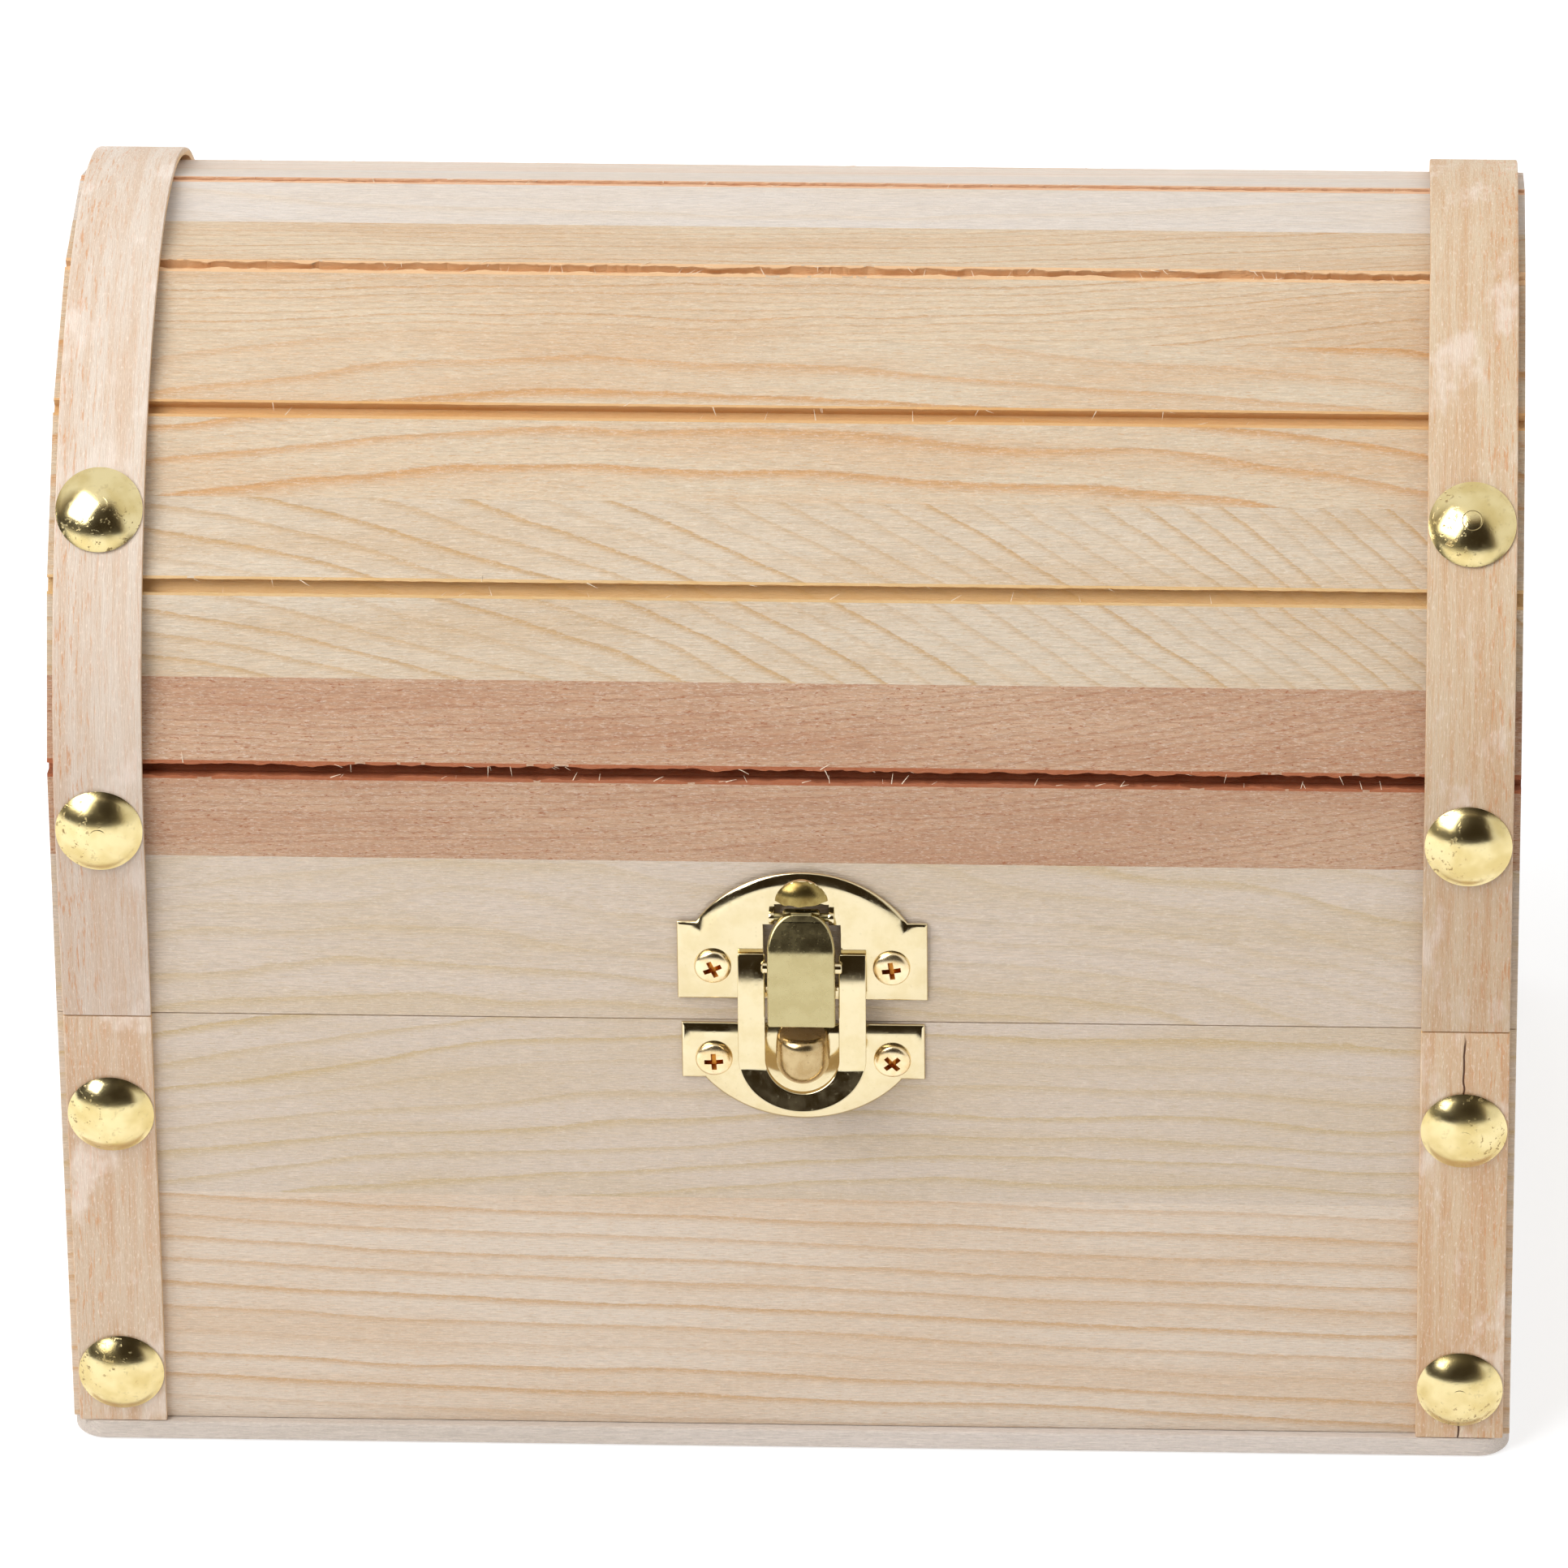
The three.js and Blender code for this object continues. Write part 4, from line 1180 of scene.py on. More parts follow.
# Painted shade and reflection: the keeper's nose is darker bronze, standing for the shade of the loop's slot
# and the lever and wood it mirrors.
NOSE_SHADED_BRASS = Brass("brass_nose_painted_shade", tone(200, 176, 132), tone(178, 150, 104), 0.20, 0.3, 0.4)
SCREW_BRASS = Brass("brass_screws", tone(248, 230, 190), tone(236, 206, 152), 0.20, 0.2, 0.4)
RECESS_BRASS = Brass("brass_recess", tone(206, 138, 58), tone(150, 86, 30), 0.35, 0.4, 0.6)


def finish_piece(piece: Piece, body: Body, slot: Slot, nodes: Sequence[str], *materials: Finish) -> None:
    """Dress a finished piece, hang it on the body it rides on and hide the CAD nodes it stands for.

    Args:
        piece: The finished mesh.
        body: The body that carries it.
        slot: Not used.
        nodes: The CAD nodes it replaces.
        materials: Its materials, in slot order.
    """
    slots = piece.data.materials
    for index, material in enumerate(materials):
        if index < len(slots):
            slots[index] = material
        else:
            slots.append(material)
    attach(piece, body.value)
    if nodes:
        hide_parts(*nodes)
    log.info("%s rides on %s, %d faces", piece.name, body.value, len(piece.data.polygons))


# ---------------------------------------------------------------- box


@dataclass
class Boards:
    """The box: bottom, front, back and two end boards."""

    edge: float = 0.12 * MM
    corner: float = 4.0 * MM
    base_edge: float = 0.35 * MM
    wave: float = 0.05 * MM
    wave_pitch: float = 31 * MM
    columns: int = 60

    def build(self) -> None:
        """Make and dress the five boards."""
        pine, ends, base = BOX_PINE.build(), END_PINE.build(), BASE_PINE.build()
        for node, sign in (("box_front", 1), ("box_back", -1)):
            low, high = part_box(node)
            board = self.board(node.replace("box_", "") + "_board", low, high)
            face = low.y if sign > 0 else high.y
            record_grain(board, lambda p, f=face, s=sign: (s * p.x, p.z, s * (p.y - f)))
            finish_piece(board, Body.BOX, Slot.PINE, [node], pine)
        for side, sign in (("left", -1), ("right", 1)):
            node = f"box_end_{side}"
            low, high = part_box(node)
            board = self.board(f"end_board_{side}", low, high)
            face = low.x if sign < 0 else high.x
            record_grain(board, lambda p, f=face, s=sign: (s * p.y, p.z, s * (f - p.x)))
            finish_piece(board, Body.BOX, Slot.PINE, [node], ends)
        self.bottom(base)

    def board(self, name: str, low: Vector, high: Vector) -> Piece:
        """One planed board: cut to size, divided, eased at its edges and very slightly wavy.

        Args:
            name: The piece's name.
            low: Lowest corner.
            high: Highest corner.

        Returns:
            The board.
        """
        board = block(name, low, high)
        soften(board, self.edge, 2)
        long_way = Vector((1, 0, 0)) if high.x - low.x > high.y - low.y else Vector((0, 1, 0))
        with editing(board):
            divide([low.lerp(high, i / self.columns) for i in range(1, self.columns)], long_way)
        for vertex in board.data.vertices:
            if vertex.co.z > high.z - 1 * MM:
                across = ripple(vertex.co.dot(long_way), self.wave_pitch, vertex.co.z * 40)
                vertex.co.z -= self.wave * (0.5 + 0.5 * across)
        smooth(board, 30)
        return board

    def bottom(self, material: Finish) -> None:
        """The bottom board, rounded at its corners and eased all round.

        Args:
            material: Its finish.
        """
        low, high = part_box("box_bottom")
        board = block("bottom_board", low, high)
        with editing(board, "EDGE"):
            pick_edges(board, lambda middle, way: abs(way.z) > 0.9)
            bpy.ops.mesh.bevel(offset=self.corner, segments=10, affect="EDGES")
        soften(board, self.base_edge, 3, 60)
        record_grain(board, lambda p: (p.x, p.y, high.z - p.z))
        finish_piece(board, Body.BOX, Slot.PINE, ["box_bottom"], material)


# ---------------------------------------------------------------- lid


@dataclass
class Kerf:
    """How one saw cut looks: how far its torn edges close it, how rough they are, how deep it is filled."""

    close: float
    rough: float
    depth: float = 1.8 * MM


@dataclass
class Lid:
    """The domed lid: the kerf-bent board, its two end boards and the splinters along the cuts."""

    columns: int = 420
    end_edge: float = 0.2 * MM
    kerfs: list[Kerf] = field(default_factory=lambda: [
        Kerf(0.12 * MM, 0.30 * MM, 2.4 * MM), Kerf(0.0, 0.08 * MM, 1.5 * MM),
        Kerf(0.0, 0.05 * MM, 1.5 * MM), Kerf(0.30 * MM, 0.42 * MM, 1.2 * MM),
        Kerf(0.55 * MM, 0.34 * MM, 0.8 * MM), Kerf(0.1 * MM, 0.1 * MM),
        Kerf(0.15 * MM, 0.15 * MM), Kerf(0.05 * MM, 0.08 * MM),
    ])

    def build(self) -> None:
        """Make and dress the lid's wooden pieces."""
        pine, ends = LID_PINE.build(), END_PINE.build()
        self.board(pine, LID_SAWN.build(), SEAM_PINE.build())
        for side, sign in (("left", -1), ("right", 1)):
            self.end(side, sign, ends)
        Splinters(self.kerfs).build()

    def outline(self) -> Outline:
        """The board's whole (y, z) section: outside with its cuts, then inside back to the start.

        Returns:
            The section.
        """
        dome = DOME
        half = dome.kerf_width / 2
        outer: Outline = [(-dome.radius, dome.bottom), (-dome.radius, dome.bottom + 0.3 * MM)]
        for degrees, kerf in zip(dome.angles(), self.kerfs):
            outer += [self.beside(degrees, offset, sink) for offset, sink in (
                (-half - 0.35 * MM, 0), (-half, 0), (-half, 0.25 * MM), (-half, kerf.depth),
                (half, kerf.depth), (half, 0.25 * MM), (half, 0), (half + 0.35 * MM, 0),
            )]
        outer += [(dome.radius, dome.bottom + 0.3 * MM), (dome.radius, dome.bottom)]
        inner = [(dome.radius - dome.wall, dome.bottom)]
        inner += [dome.at(dome.inner_radius, degrees) for degrees in reversed(dome.angles())]
        inner.append((-dome.radius + dome.wall, dome.bottom))
        return outer + inner

    def beside(self, degrees: float, offset: float, sink: float) -> Point:
        """A (y, z) point beside a cut: offset round the dome from its middle, sunk below the lip.

        Args:
            degrees: The cut's angle.
            offset: Distance from the cut's middle, along the facet.
            sink: Distance below the facet.

        Returns:
            The point.
        """
        along = round_way(degrees)
        tilt = self.facet_tilt(degrees, 1 if offset > 0 else -1)
        y, z = DOME.at(DOME.lip_radius - sink - abs(offset) * math.tan(tilt), degrees)
        return y + along.y * offset, z + along.z * offset

    def facet_tilt(self, degrees: float, way: int) -> float:
        """How far the facet on one side of a cut leans back from the dome's tangent, in radians.

        Args:
            degrees: The cut's angle round the dome.
            way: 1 or -1: the side.

        Returns:
            The lean in radians.
        """
        before_first = degrees < DOME.first + 0.1 and way < 0
        after_last = degrees > 180 - DOME.first - 0.1 and way > 0
        if before_first or after_last:
            return math.radians(DOME.first)
        return math.radians(DOME.step / 2)

    def board(
        self, pine: Finish, sawn: Finish, seam: Finish,
    ) -> None:
        """The bent board, its torn cut edges and its finishes.

        Args:
            pine: The planed face.
            sawn: The walls of the saw cuts.
            seam: The edges that meet the box.
        """
        low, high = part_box("lid_board")
        board = swept("lid_board_bent", self.outline(), low.x, high.x, self.columns)
        self.tear_edges(board)
        record_grain(board, lambda p: (p.x, *DOME.around(p)))
        smooth(board, 12)
        finish_piece(board, Body.LID, Slot.PINE, ["lid_board"], pine, sawn, seam)
        for face in board.data.polygons:
            _, depth = DOME.around(face.center)
            cut = self.nearest_cut(face.center)
            on_end = abs(face.normal.x) > 0.5
            across = abs(cut[1]) < DOME.kerf_width * 0.62
            if across and 0.1 * MM < depth < DOME.kerf_depth + 0.3 * MM and not on_end:
                face.material_index = 1
            elif face.normal.z < -0.9 and face.center.z < DOME.bottom + 0.2 * MM:
                face.material_index = 2

    def nearest_cut(self, point: Vector) -> tuple[int, float]:
        """The cut nearest a point, and the point's distance round from that cut's middle.

        Args:
            point: A point of the piece.

        Returns:
            The cut's number and the distance.
        """
        angle = math.degrees(math.atan2(point.z - DOME.spring, -point.y))
        index = min(range(DOME.kerfs), key=lambda i: abs(DOME.angles()[i] - angle))
        reach = math.hypot(point.y, point.z - DOME.spring)
        return index, math.radians(angle - DOME.angles()[index]) * reach

    def tear_edges(self, board: Piece) -> None:
        """Roughen the edges beside every cut, as the saw tears them, and close some cuts a little.

        Args:
            board: The board.
        """
        for vertex in board.data.vertices:
            index, across = self.nearest_cut(vertex.co)
            _, depth = DOME.around(vertex.co)
            near = abs(across) < DOME.kerf_width / 2 + 0.1 * MM
            if depth > 0.6 * MM or not near:
                continue
            kerf = self.kerfs[index]
            side = 1 if across > 0 else -1
            seed = index * 2 + side * 0.5
            chip = ripple(vertex.co.x, 2.3 * MM, seed) + 0.6 * ripple(vertex.co.x, 0.8 * MM, seed + 9)
            chip += 0.8 * max(0.0, ripple(vertex.co.x, 9 * MM, seed + 4))
            move = kerf.close * (0.5 + 0.3 * ripple(vertex.co.x, 25 * MM, seed)) + kerf.rough * chip
            vertex.co -= round_way(DOME.angles()[index]) * side * move

    def end(self, side: str, sign: int, material: Finish) -> None:
        """One end board, which fills the dome inside the bent board.

        Args:
            side: Left or right, as in the piece names.
            sign: 1 or -1: towards high or low x.
            material: Its finish.
        """
        node = f"lid_end_{side}"
        low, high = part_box(node)
        inner = DOME.inner_radius - DOME.touch
        half = DOME.radius - DOME.wall - DOME.touch
        points = [(-half, DOME.bottom)]
        points += [DOME.at(inner, degrees) for degrees in DOME.angles()]
        points.append((half, DOME.bottom))
        board = section_blank(f"lid_end_board_{side}", points, low.x, high.x)
        soften(board, self.end_edge, 2)
        face = low.x if sign < 0 else high.x
        record_grain(board, lambda p: (sign * p.y, p.z, sign * (face - p.x)))
        finish_piece(board, Body.LID, Slot.PINE, [node], material)


@dataclass
class Splinters:
    """Torn fibres that stand across the saw cuts, and fuzz along them."""

    kerfs: list[Kerf]
    per_cut: int = 44
    length: float = 1.5 * MM
    thickness: float = 0.075 * MM
    reach: float = 74 * MM
    root_sink: float = 0.22 * MM
    seed: int = 11

    def build(self) -> None:
        """Model one splinter, copy it along every cut and join the copies."""
        chance = random.Random(self.seed)
        model = self.model()
        copies = []
        for index, degrees in enumerate(DOME.angles()):
            rough = 0.35 + self.kerfs[index].rough / (0.35 * MM)
            for i in range(int(self.per_cut * rough)):
                copies.append(duplicate(model, f"splinter_{index}_{i}", self.place(degrees, chance)))
        bpy.data.objects.remove(model)
        piece = joined("kerf_splinters", copies)
        record_grain(piece, lambda p: (p.x, DOME.around(p)[0], 0))
        smooth(piece, 60)
        finish_piece(piece, Body.LID, Slot.PINE, [], SPLINTER_PINE.build())

    def model(self) -> Piece:
        """One splinter along X: a thin, slightly bent and pointed fibre.

        Returns:
            The splinter.
        """
        bpy.ops.mesh.primitive_cone_add(
            vertices=5, radius1=self.thickness, radius2=self.thickness * 0.2, depth=self.length,
            rotation=(0, math.pi / 2, 0),
        )
        piece = bpy.context.object
        settle(piece)
        with editing(piece):
            divide([(share * self.length, 0, 0) for share in (-0.25, 0.0, 0.25)], (1, 0, 0))
        for vertex in piece.data.vertices:
            share = vertex.co.x / self.length + 0.5
            vertex.co.z += 0.35 * self.length * share * share * 0.5
            vertex.co.x += self.length / 2
        return piece

    def place(self, degrees: float, chance: random.Random) -> Matrix:
        """Where one splinter goes: rooted on an edge of the cut, leaning over or along it.

        Args:
            degrees: The cut's angle.
            chance: The seeded source of chance.

        Returns:
            Its placing matrix.
        """
        side = chance.choice((-1, 1))
        x = chance.uniform(-self.reach, self.reach)
        y, z = DOME.at(DOME.lip_radius - self.root_sink, degrees)
        root = Vector((x, y, z)) + round_way(degrees) * side * DOME.kerf_width * 0.5
        lean = chance.choice((chance.uniform(8, 35), chance.uniform(50, 120)))
        heading = side * -math.radians(lean) if chance.random() < 0.8 else math.radians(lean)
        scale = chance.uniform(0.35, 1.0)
        turn = Matrix.Rotation(math.radians(90 - degrees), 4, "X") @ Matrix.Rotation(heading, 4, "Z")
        return Matrix.Translation(root) @ turn @ Matrix.Scale(scale, 4)


SPLINTER_PINE = Pine("pine_splinters", -200.0, (
    Stave(600.0, tone(246, 228, 204), tone(232, 204, 170), 1.0, 0, 0, 0.4, 0.1),
), seed=6.0)


# ---------------------------------------------------------------- straps


@dataclass
class Straps:
    """The veneer straps: one over the lid and one up the front and back of the box, at each end."""

    thickness: float = 1.0 * MM
    edge: float = 0.2 * MM
    steps: int = 96
    columns: int = 6
    rows: int = 40
    wander: float = 0.10 * MM
    wander_pitch: float = 17 * MM
    wander_from: float = 4 * MM
    # Painted shade, multiplied into the lid straps towards their low ends.
    painted_low_shade: Colour = (0.86, 0.83, 0.82)

    def build(self) -> None:
        """Make and dress the six straps."""
        left = Veneer("veneer_left", tone(219, 205, 190), tone(206, 175, 146), 1.0, self.painted_low_shade).build()
        right = Veneer("veneer_right", tone(214, 192, 163), tone(200, 157, 114), 2.0, self.painted_low_shade).build()
        left_box = Veneer("veneer_box_left", tone(209, 187, 163), tone(194, 151, 114), 3.0).build()
        right_box = Veneer(
            "veneer_box_right", tone(213, 187, 156), tone(196, 145, 101), 4.0,
            split_across=83.6, split_spans=((-6.0, 8.0), (49.0, 62.0)),
        ).build()
        for side, lid_finish, box_finish in (("left", left, left_box), ("right", right, right_box)):
            self.over_lid(side, lid_finish)
            for end, way in (("front", -1), ("back", 1)):
                self.on_box(side, end, way, box_finish)

    def over_lid(self, side: str, material: Finish) -> None:
        """The strap over the lid: straight sides and one smooth curve over the facets.

        Args:
            side: Left or right, as in the piece names.
            material: Its finish.
        """
        node = f"lid_strap_{side}"
        low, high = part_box(node)
        outline = self.arch(self.thickness) + list(reversed(self.arch(0)))
        strap = swept(f"strap_over_lid_{side}", outline, low.x, high.x, self.columns)
        soften(strap, self.edge, 2, 50)
        self.wander_edges(strap, (low.x + high.x) / 2, lambda p: DOME.around(p)[0])
        record_grain(strap, lambda p: (DOME.around(p)[0], p.x, self.depth(p)))
        finish_piece(strap, Body.LID, Slot.VENEER, [node], material)

    def depth(self, point: Vector) -> float:
        """How far a point of the lid strap lies below its outer face.

        Args:
            point: A point of the piece.

        Returns:
            The depth in metres.
        """
        if point.z < DOME.spring:
            share = (point.z - DOME.bottom) / (DOME.spring - DOME.bottom)
            low, high = DOME.radius + DOME.touch, DOME.strap_radius(0)
            return low + (high - low) * share + self.thickness - abs(point.y)
        rise = point.z - DOME.spring
        degrees = math.degrees(math.atan2(rise, -point.y))
        return DOME.strap_radius(degrees) + self.thickness - math.hypot(point.y, rise)

    def arch(self, thickness: float) -> Outline:
        """One face of the lid strap as (y, z) points, from the front seam to the back seam.

        Args:
            thickness: How far inside the strap's outer face.

        Returns:
            The points.
        """
        side = DOME.radius + DOME.touch + thickness
        bow = [
            DOME.at(DOME.strap_radius(180 * i / self.steps) + thickness, 180 * i / self.steps)
            for i in range(self.steps + 1)
        ]
        middle = (DOME.bottom + DOME.spring) / 2
        lift = (side + bow[0][0]) / 2
        return [
            (-side, DOME.bottom), (-side + lift, middle), *bow, (side - lift, middle), (side, DOME.bottom),
        ]

    def on_box(self, side: str, end: str, way: int, material: Finish) -> None:
        """One strap on the box, divided along its length so its edges can wander.

        Args:
            side: Left or right, as in the piece names.
            end: Front or back, as in the piece names.
            way: 1 or -1: towards the back or the front.
            material: Its finish.
        """
        node = f"box_strap_{end}_{side}"
        low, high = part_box(node)
        strap = block(f"strap_{end}_{side}", low, high)
        with editing(strap):
            divide([low.lerp(high, i / self.rows) for i in range(1, self.rows)], (0, 0, 1))
        soften(strap, self.edge, 2, 50)
        self.wander_edges(strap, (low.x + high.x) / 2, lambda p: p.z + 0.3 * way)
        face = low.y if way < 0 else high.y
        record_grain(strap, lambda p: (p.z, p.x, -way * (p.y - face)))
        finish_piece(strap, Body.BOX, Slot.VENEER, [node], material)

    def wander_edges(
        self, strap: Piece, middle: float, along: Callable[[Vector], float],
    ) -> None:
        """Let a strap's long edges wander inwards a little, as knife-cut veneer does.

        Args:
            strap: The strap.
            middle: x of its centre line.
            along: Distance of a point along the strap.
        """
        for vertex in strap.data.vertices:
            out = vertex.co.x - middle
            side = 1 if out > 0 else -1
            drift = 0.5 + 0.5 * ripple(along(vertex.co), self.wander_pitch, side * 3 + middle * 50)
            if abs(out) > self.wander_from:
                vertex.co.x -= side * self.wander * drift


# ---------------------------------------------------------------- fasteners


@dataclass
class Nails:
    """Sixteen dome nails, four at each end of the front and of the back."""

    radius: float = 5.35 * MM
    dome: float = 2.2 * MM
    shank: float = 0.8 * MM
    length: float = 9.5 * MM
    lift: float = 0.04 * MM
    lip: float = 0.16 * MM
    sides: int = 64
    rings: int = 14
    strap: float = 1.0 * MM
    seed: int = 5
    tip: float = 0.6
    lid_angles: tuple[float, float] = (4.5, 43.0)

    def build(self) -> None:
        """Model one nail and set a copy at every place."""
        model = self.model()
        brass = NailBrass().build()
        chance = random.Random(self.seed)
        for side, sign in (("left", -1), ("right", 1)):
            for end, flip in (("front", False), ("back", True)):
                for level, place, body in self.places(sign, end, side, flip):
                    twist = Matrix.Rotation(chance.uniform(0, math.tau), 4, "Z")
                    tip = math.radians(chance.uniform(-self.tip, self.tip))
                    tilt = Matrix.Rotation(tip, 4, "X") @ Matrix.Rotation(tip * 0.7, 4, "Y")
                    node = f"nail_{body.value}_{end}_{side}_{level}"
                    nail = duplicate(model, f"{node}_head", place @ tilt @ twist)
                    finish_piece(nail, body, Slot.BRASS, [node], brass)
        bpy.data.objects.remove(model)

    def places(self, sign: int, end: str, side: str, flip: bool) -> list[tuple[str, Matrix, Body]]:
        """The four places at one end of one face.

        Args:
            sign: -1 for the left end, 1 for the right.
            end: front or back.
            side: left or right.
            flip: True for the back.

        Returns:
            Level, placing matrix and body of each nail.
        """
        found = []
        for level in ("low", "high"):
            low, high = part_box(f"nail_box_{end}_{side}_{level}")
            face = (high.y - self.dome) if flip else (low.y + self.dome)
            place = Matrix.Translation(((low.x + high.x) / 2, face, (low.z + high.z) / 2))
            turn = Matrix.Rotation(math.radians(-90 if flip else 90), 4, "X")
            found.append((level, place @ turn, Body.BOX))
        for level, from_side in zip(("low", "high"), self.lid_angles):
            low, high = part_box(f"nail_lid_{end}_{side}_{level}")
            degrees = 180 - from_side if flip else from_side
            y, z = DOME.at(DOME.strap_radius(degrees) + self.strap + self.lift, degrees)
            place = Matrix.Translation(((low.x + high.x) / 2, y, z))
            turn = Matrix.Rotation(math.radians(90 - degrees), 4, "X")
            found.append((level, place @ turn, Body.LID))
        return found

    def model(self) -> Piece:
        """One nail standing on the origin, head up: shank, rolled lip and dome.

        Returns:
            The nail.
        """
        sphere = (self.radius ** 2 + self.dome ** 2) / (2 * self.dome)
        rim = math.asin(self.radius / sphere)
        profile = [(0.15 * MM, -self.length), (self.shank, -self.length + 2 * self.shank), (self.shank, 0)]
        profile += [(self.radius - self.lip * 1.5, 0.02 * MM), (self.radius - self.lip * 0.4, 0.0)]
        profile.append((self.radius, self.lip * 0.7))
        for i in range(1, self.rings + 1):
            angle = rim * (1 - i / (self.rings + 1)) ** 1.15
            height = sphere * math.cos(angle) - (sphere - self.dome)
            profile.append((sphere * math.sin(angle), height))
        profile.append((0, self.dome))
        nail = turned("nail_model", profile, self.sides)
        record(nail, "nail", lambda point: point)
        smooth(nail, 50)
        return nail


@dataclass
class Screw:
    """A pan-head screw with a cross recess."""

    head: float
    height: float
    shank: float = 0.9 * MM
    length: float = 4.4 * MM
    recess_length: float = 2.9 * MM
    recess_width: float = 0.72 * MM
    recess_depth: float = 0.85 * MM
    sides: int = 40

    def model(self) -> Piece:
        """One screw standing on the origin, head up.

        Returns:
            The screw.
        """
        head, height = self.head, self.height
        profile = [
            (0.1 * MM, -self.length), (self.shank, -self.length + 1.2 * MM), (self.shank, 0),
            (head * 0.97, 0), (head, height * 0.06), (head, height * 0.34), (head * 0.985, height * 0.48),
            (head * 0.95, height * 0.60), (head * 0.88, height * 0.72), (head * 0.74, height * 0.84),
            (head * 0.55, height * 0.93), (head * 0.3, height * 0.98), (0, height),
        ]
        screw = turned("screw_model", profile, self.sides)
        reach = min(self.recess_length, 1.3 * head) / 2
        for turn in (0, math.pi / 2):
            carve(screw, self.recess(reach, turn))
        smooth(screw, 32)
        two_finishes(screw, self.in_recess)
        return screw

    def in_recess(self, face: bpy.types.MeshPolygon) -> bool:
        """True for the recess's walls and floor, which take the second finish.

        Args:
            face: A face of the screw.

        Returns:
            Whether the face is in it.
        """
        reach = math.hypot(face.center.x, face.center.y)
        inside = reach < self.head * 0.72 and face.center.z > 0.05 * MM
        return inside and (abs(face.normal.z) < 0.6 or face.center.z < self.height * 0.6)

    def recess(self, reach: float, turn: float) -> Piece:
        """One arm pair of the cross: a slot that narrows towards its bottom.

        Args:
            reach: Half the length of the slot.
            turn: Its turn about the axis.

        Returns:
            The slot.
        """
        half, top = self.recess_width / 2, self.height + 0.5 * MM
        tool = block(
            "recess", (-reach, -half, self.height - self.recess_depth), (reach, half, top),
        )
        with editing(tool):
            pick_faces(tool, lambda centre, normal: normal.z < -0.9)
            bpy.ops.transform.resize(value=(0.55, 0.7, 1), center_override=(0, 0, 0))
        tool.data.transform(Matrix.Rotation(turn, 4, "Z"))
        return tool


# ---------------------------------------------------------------- latch


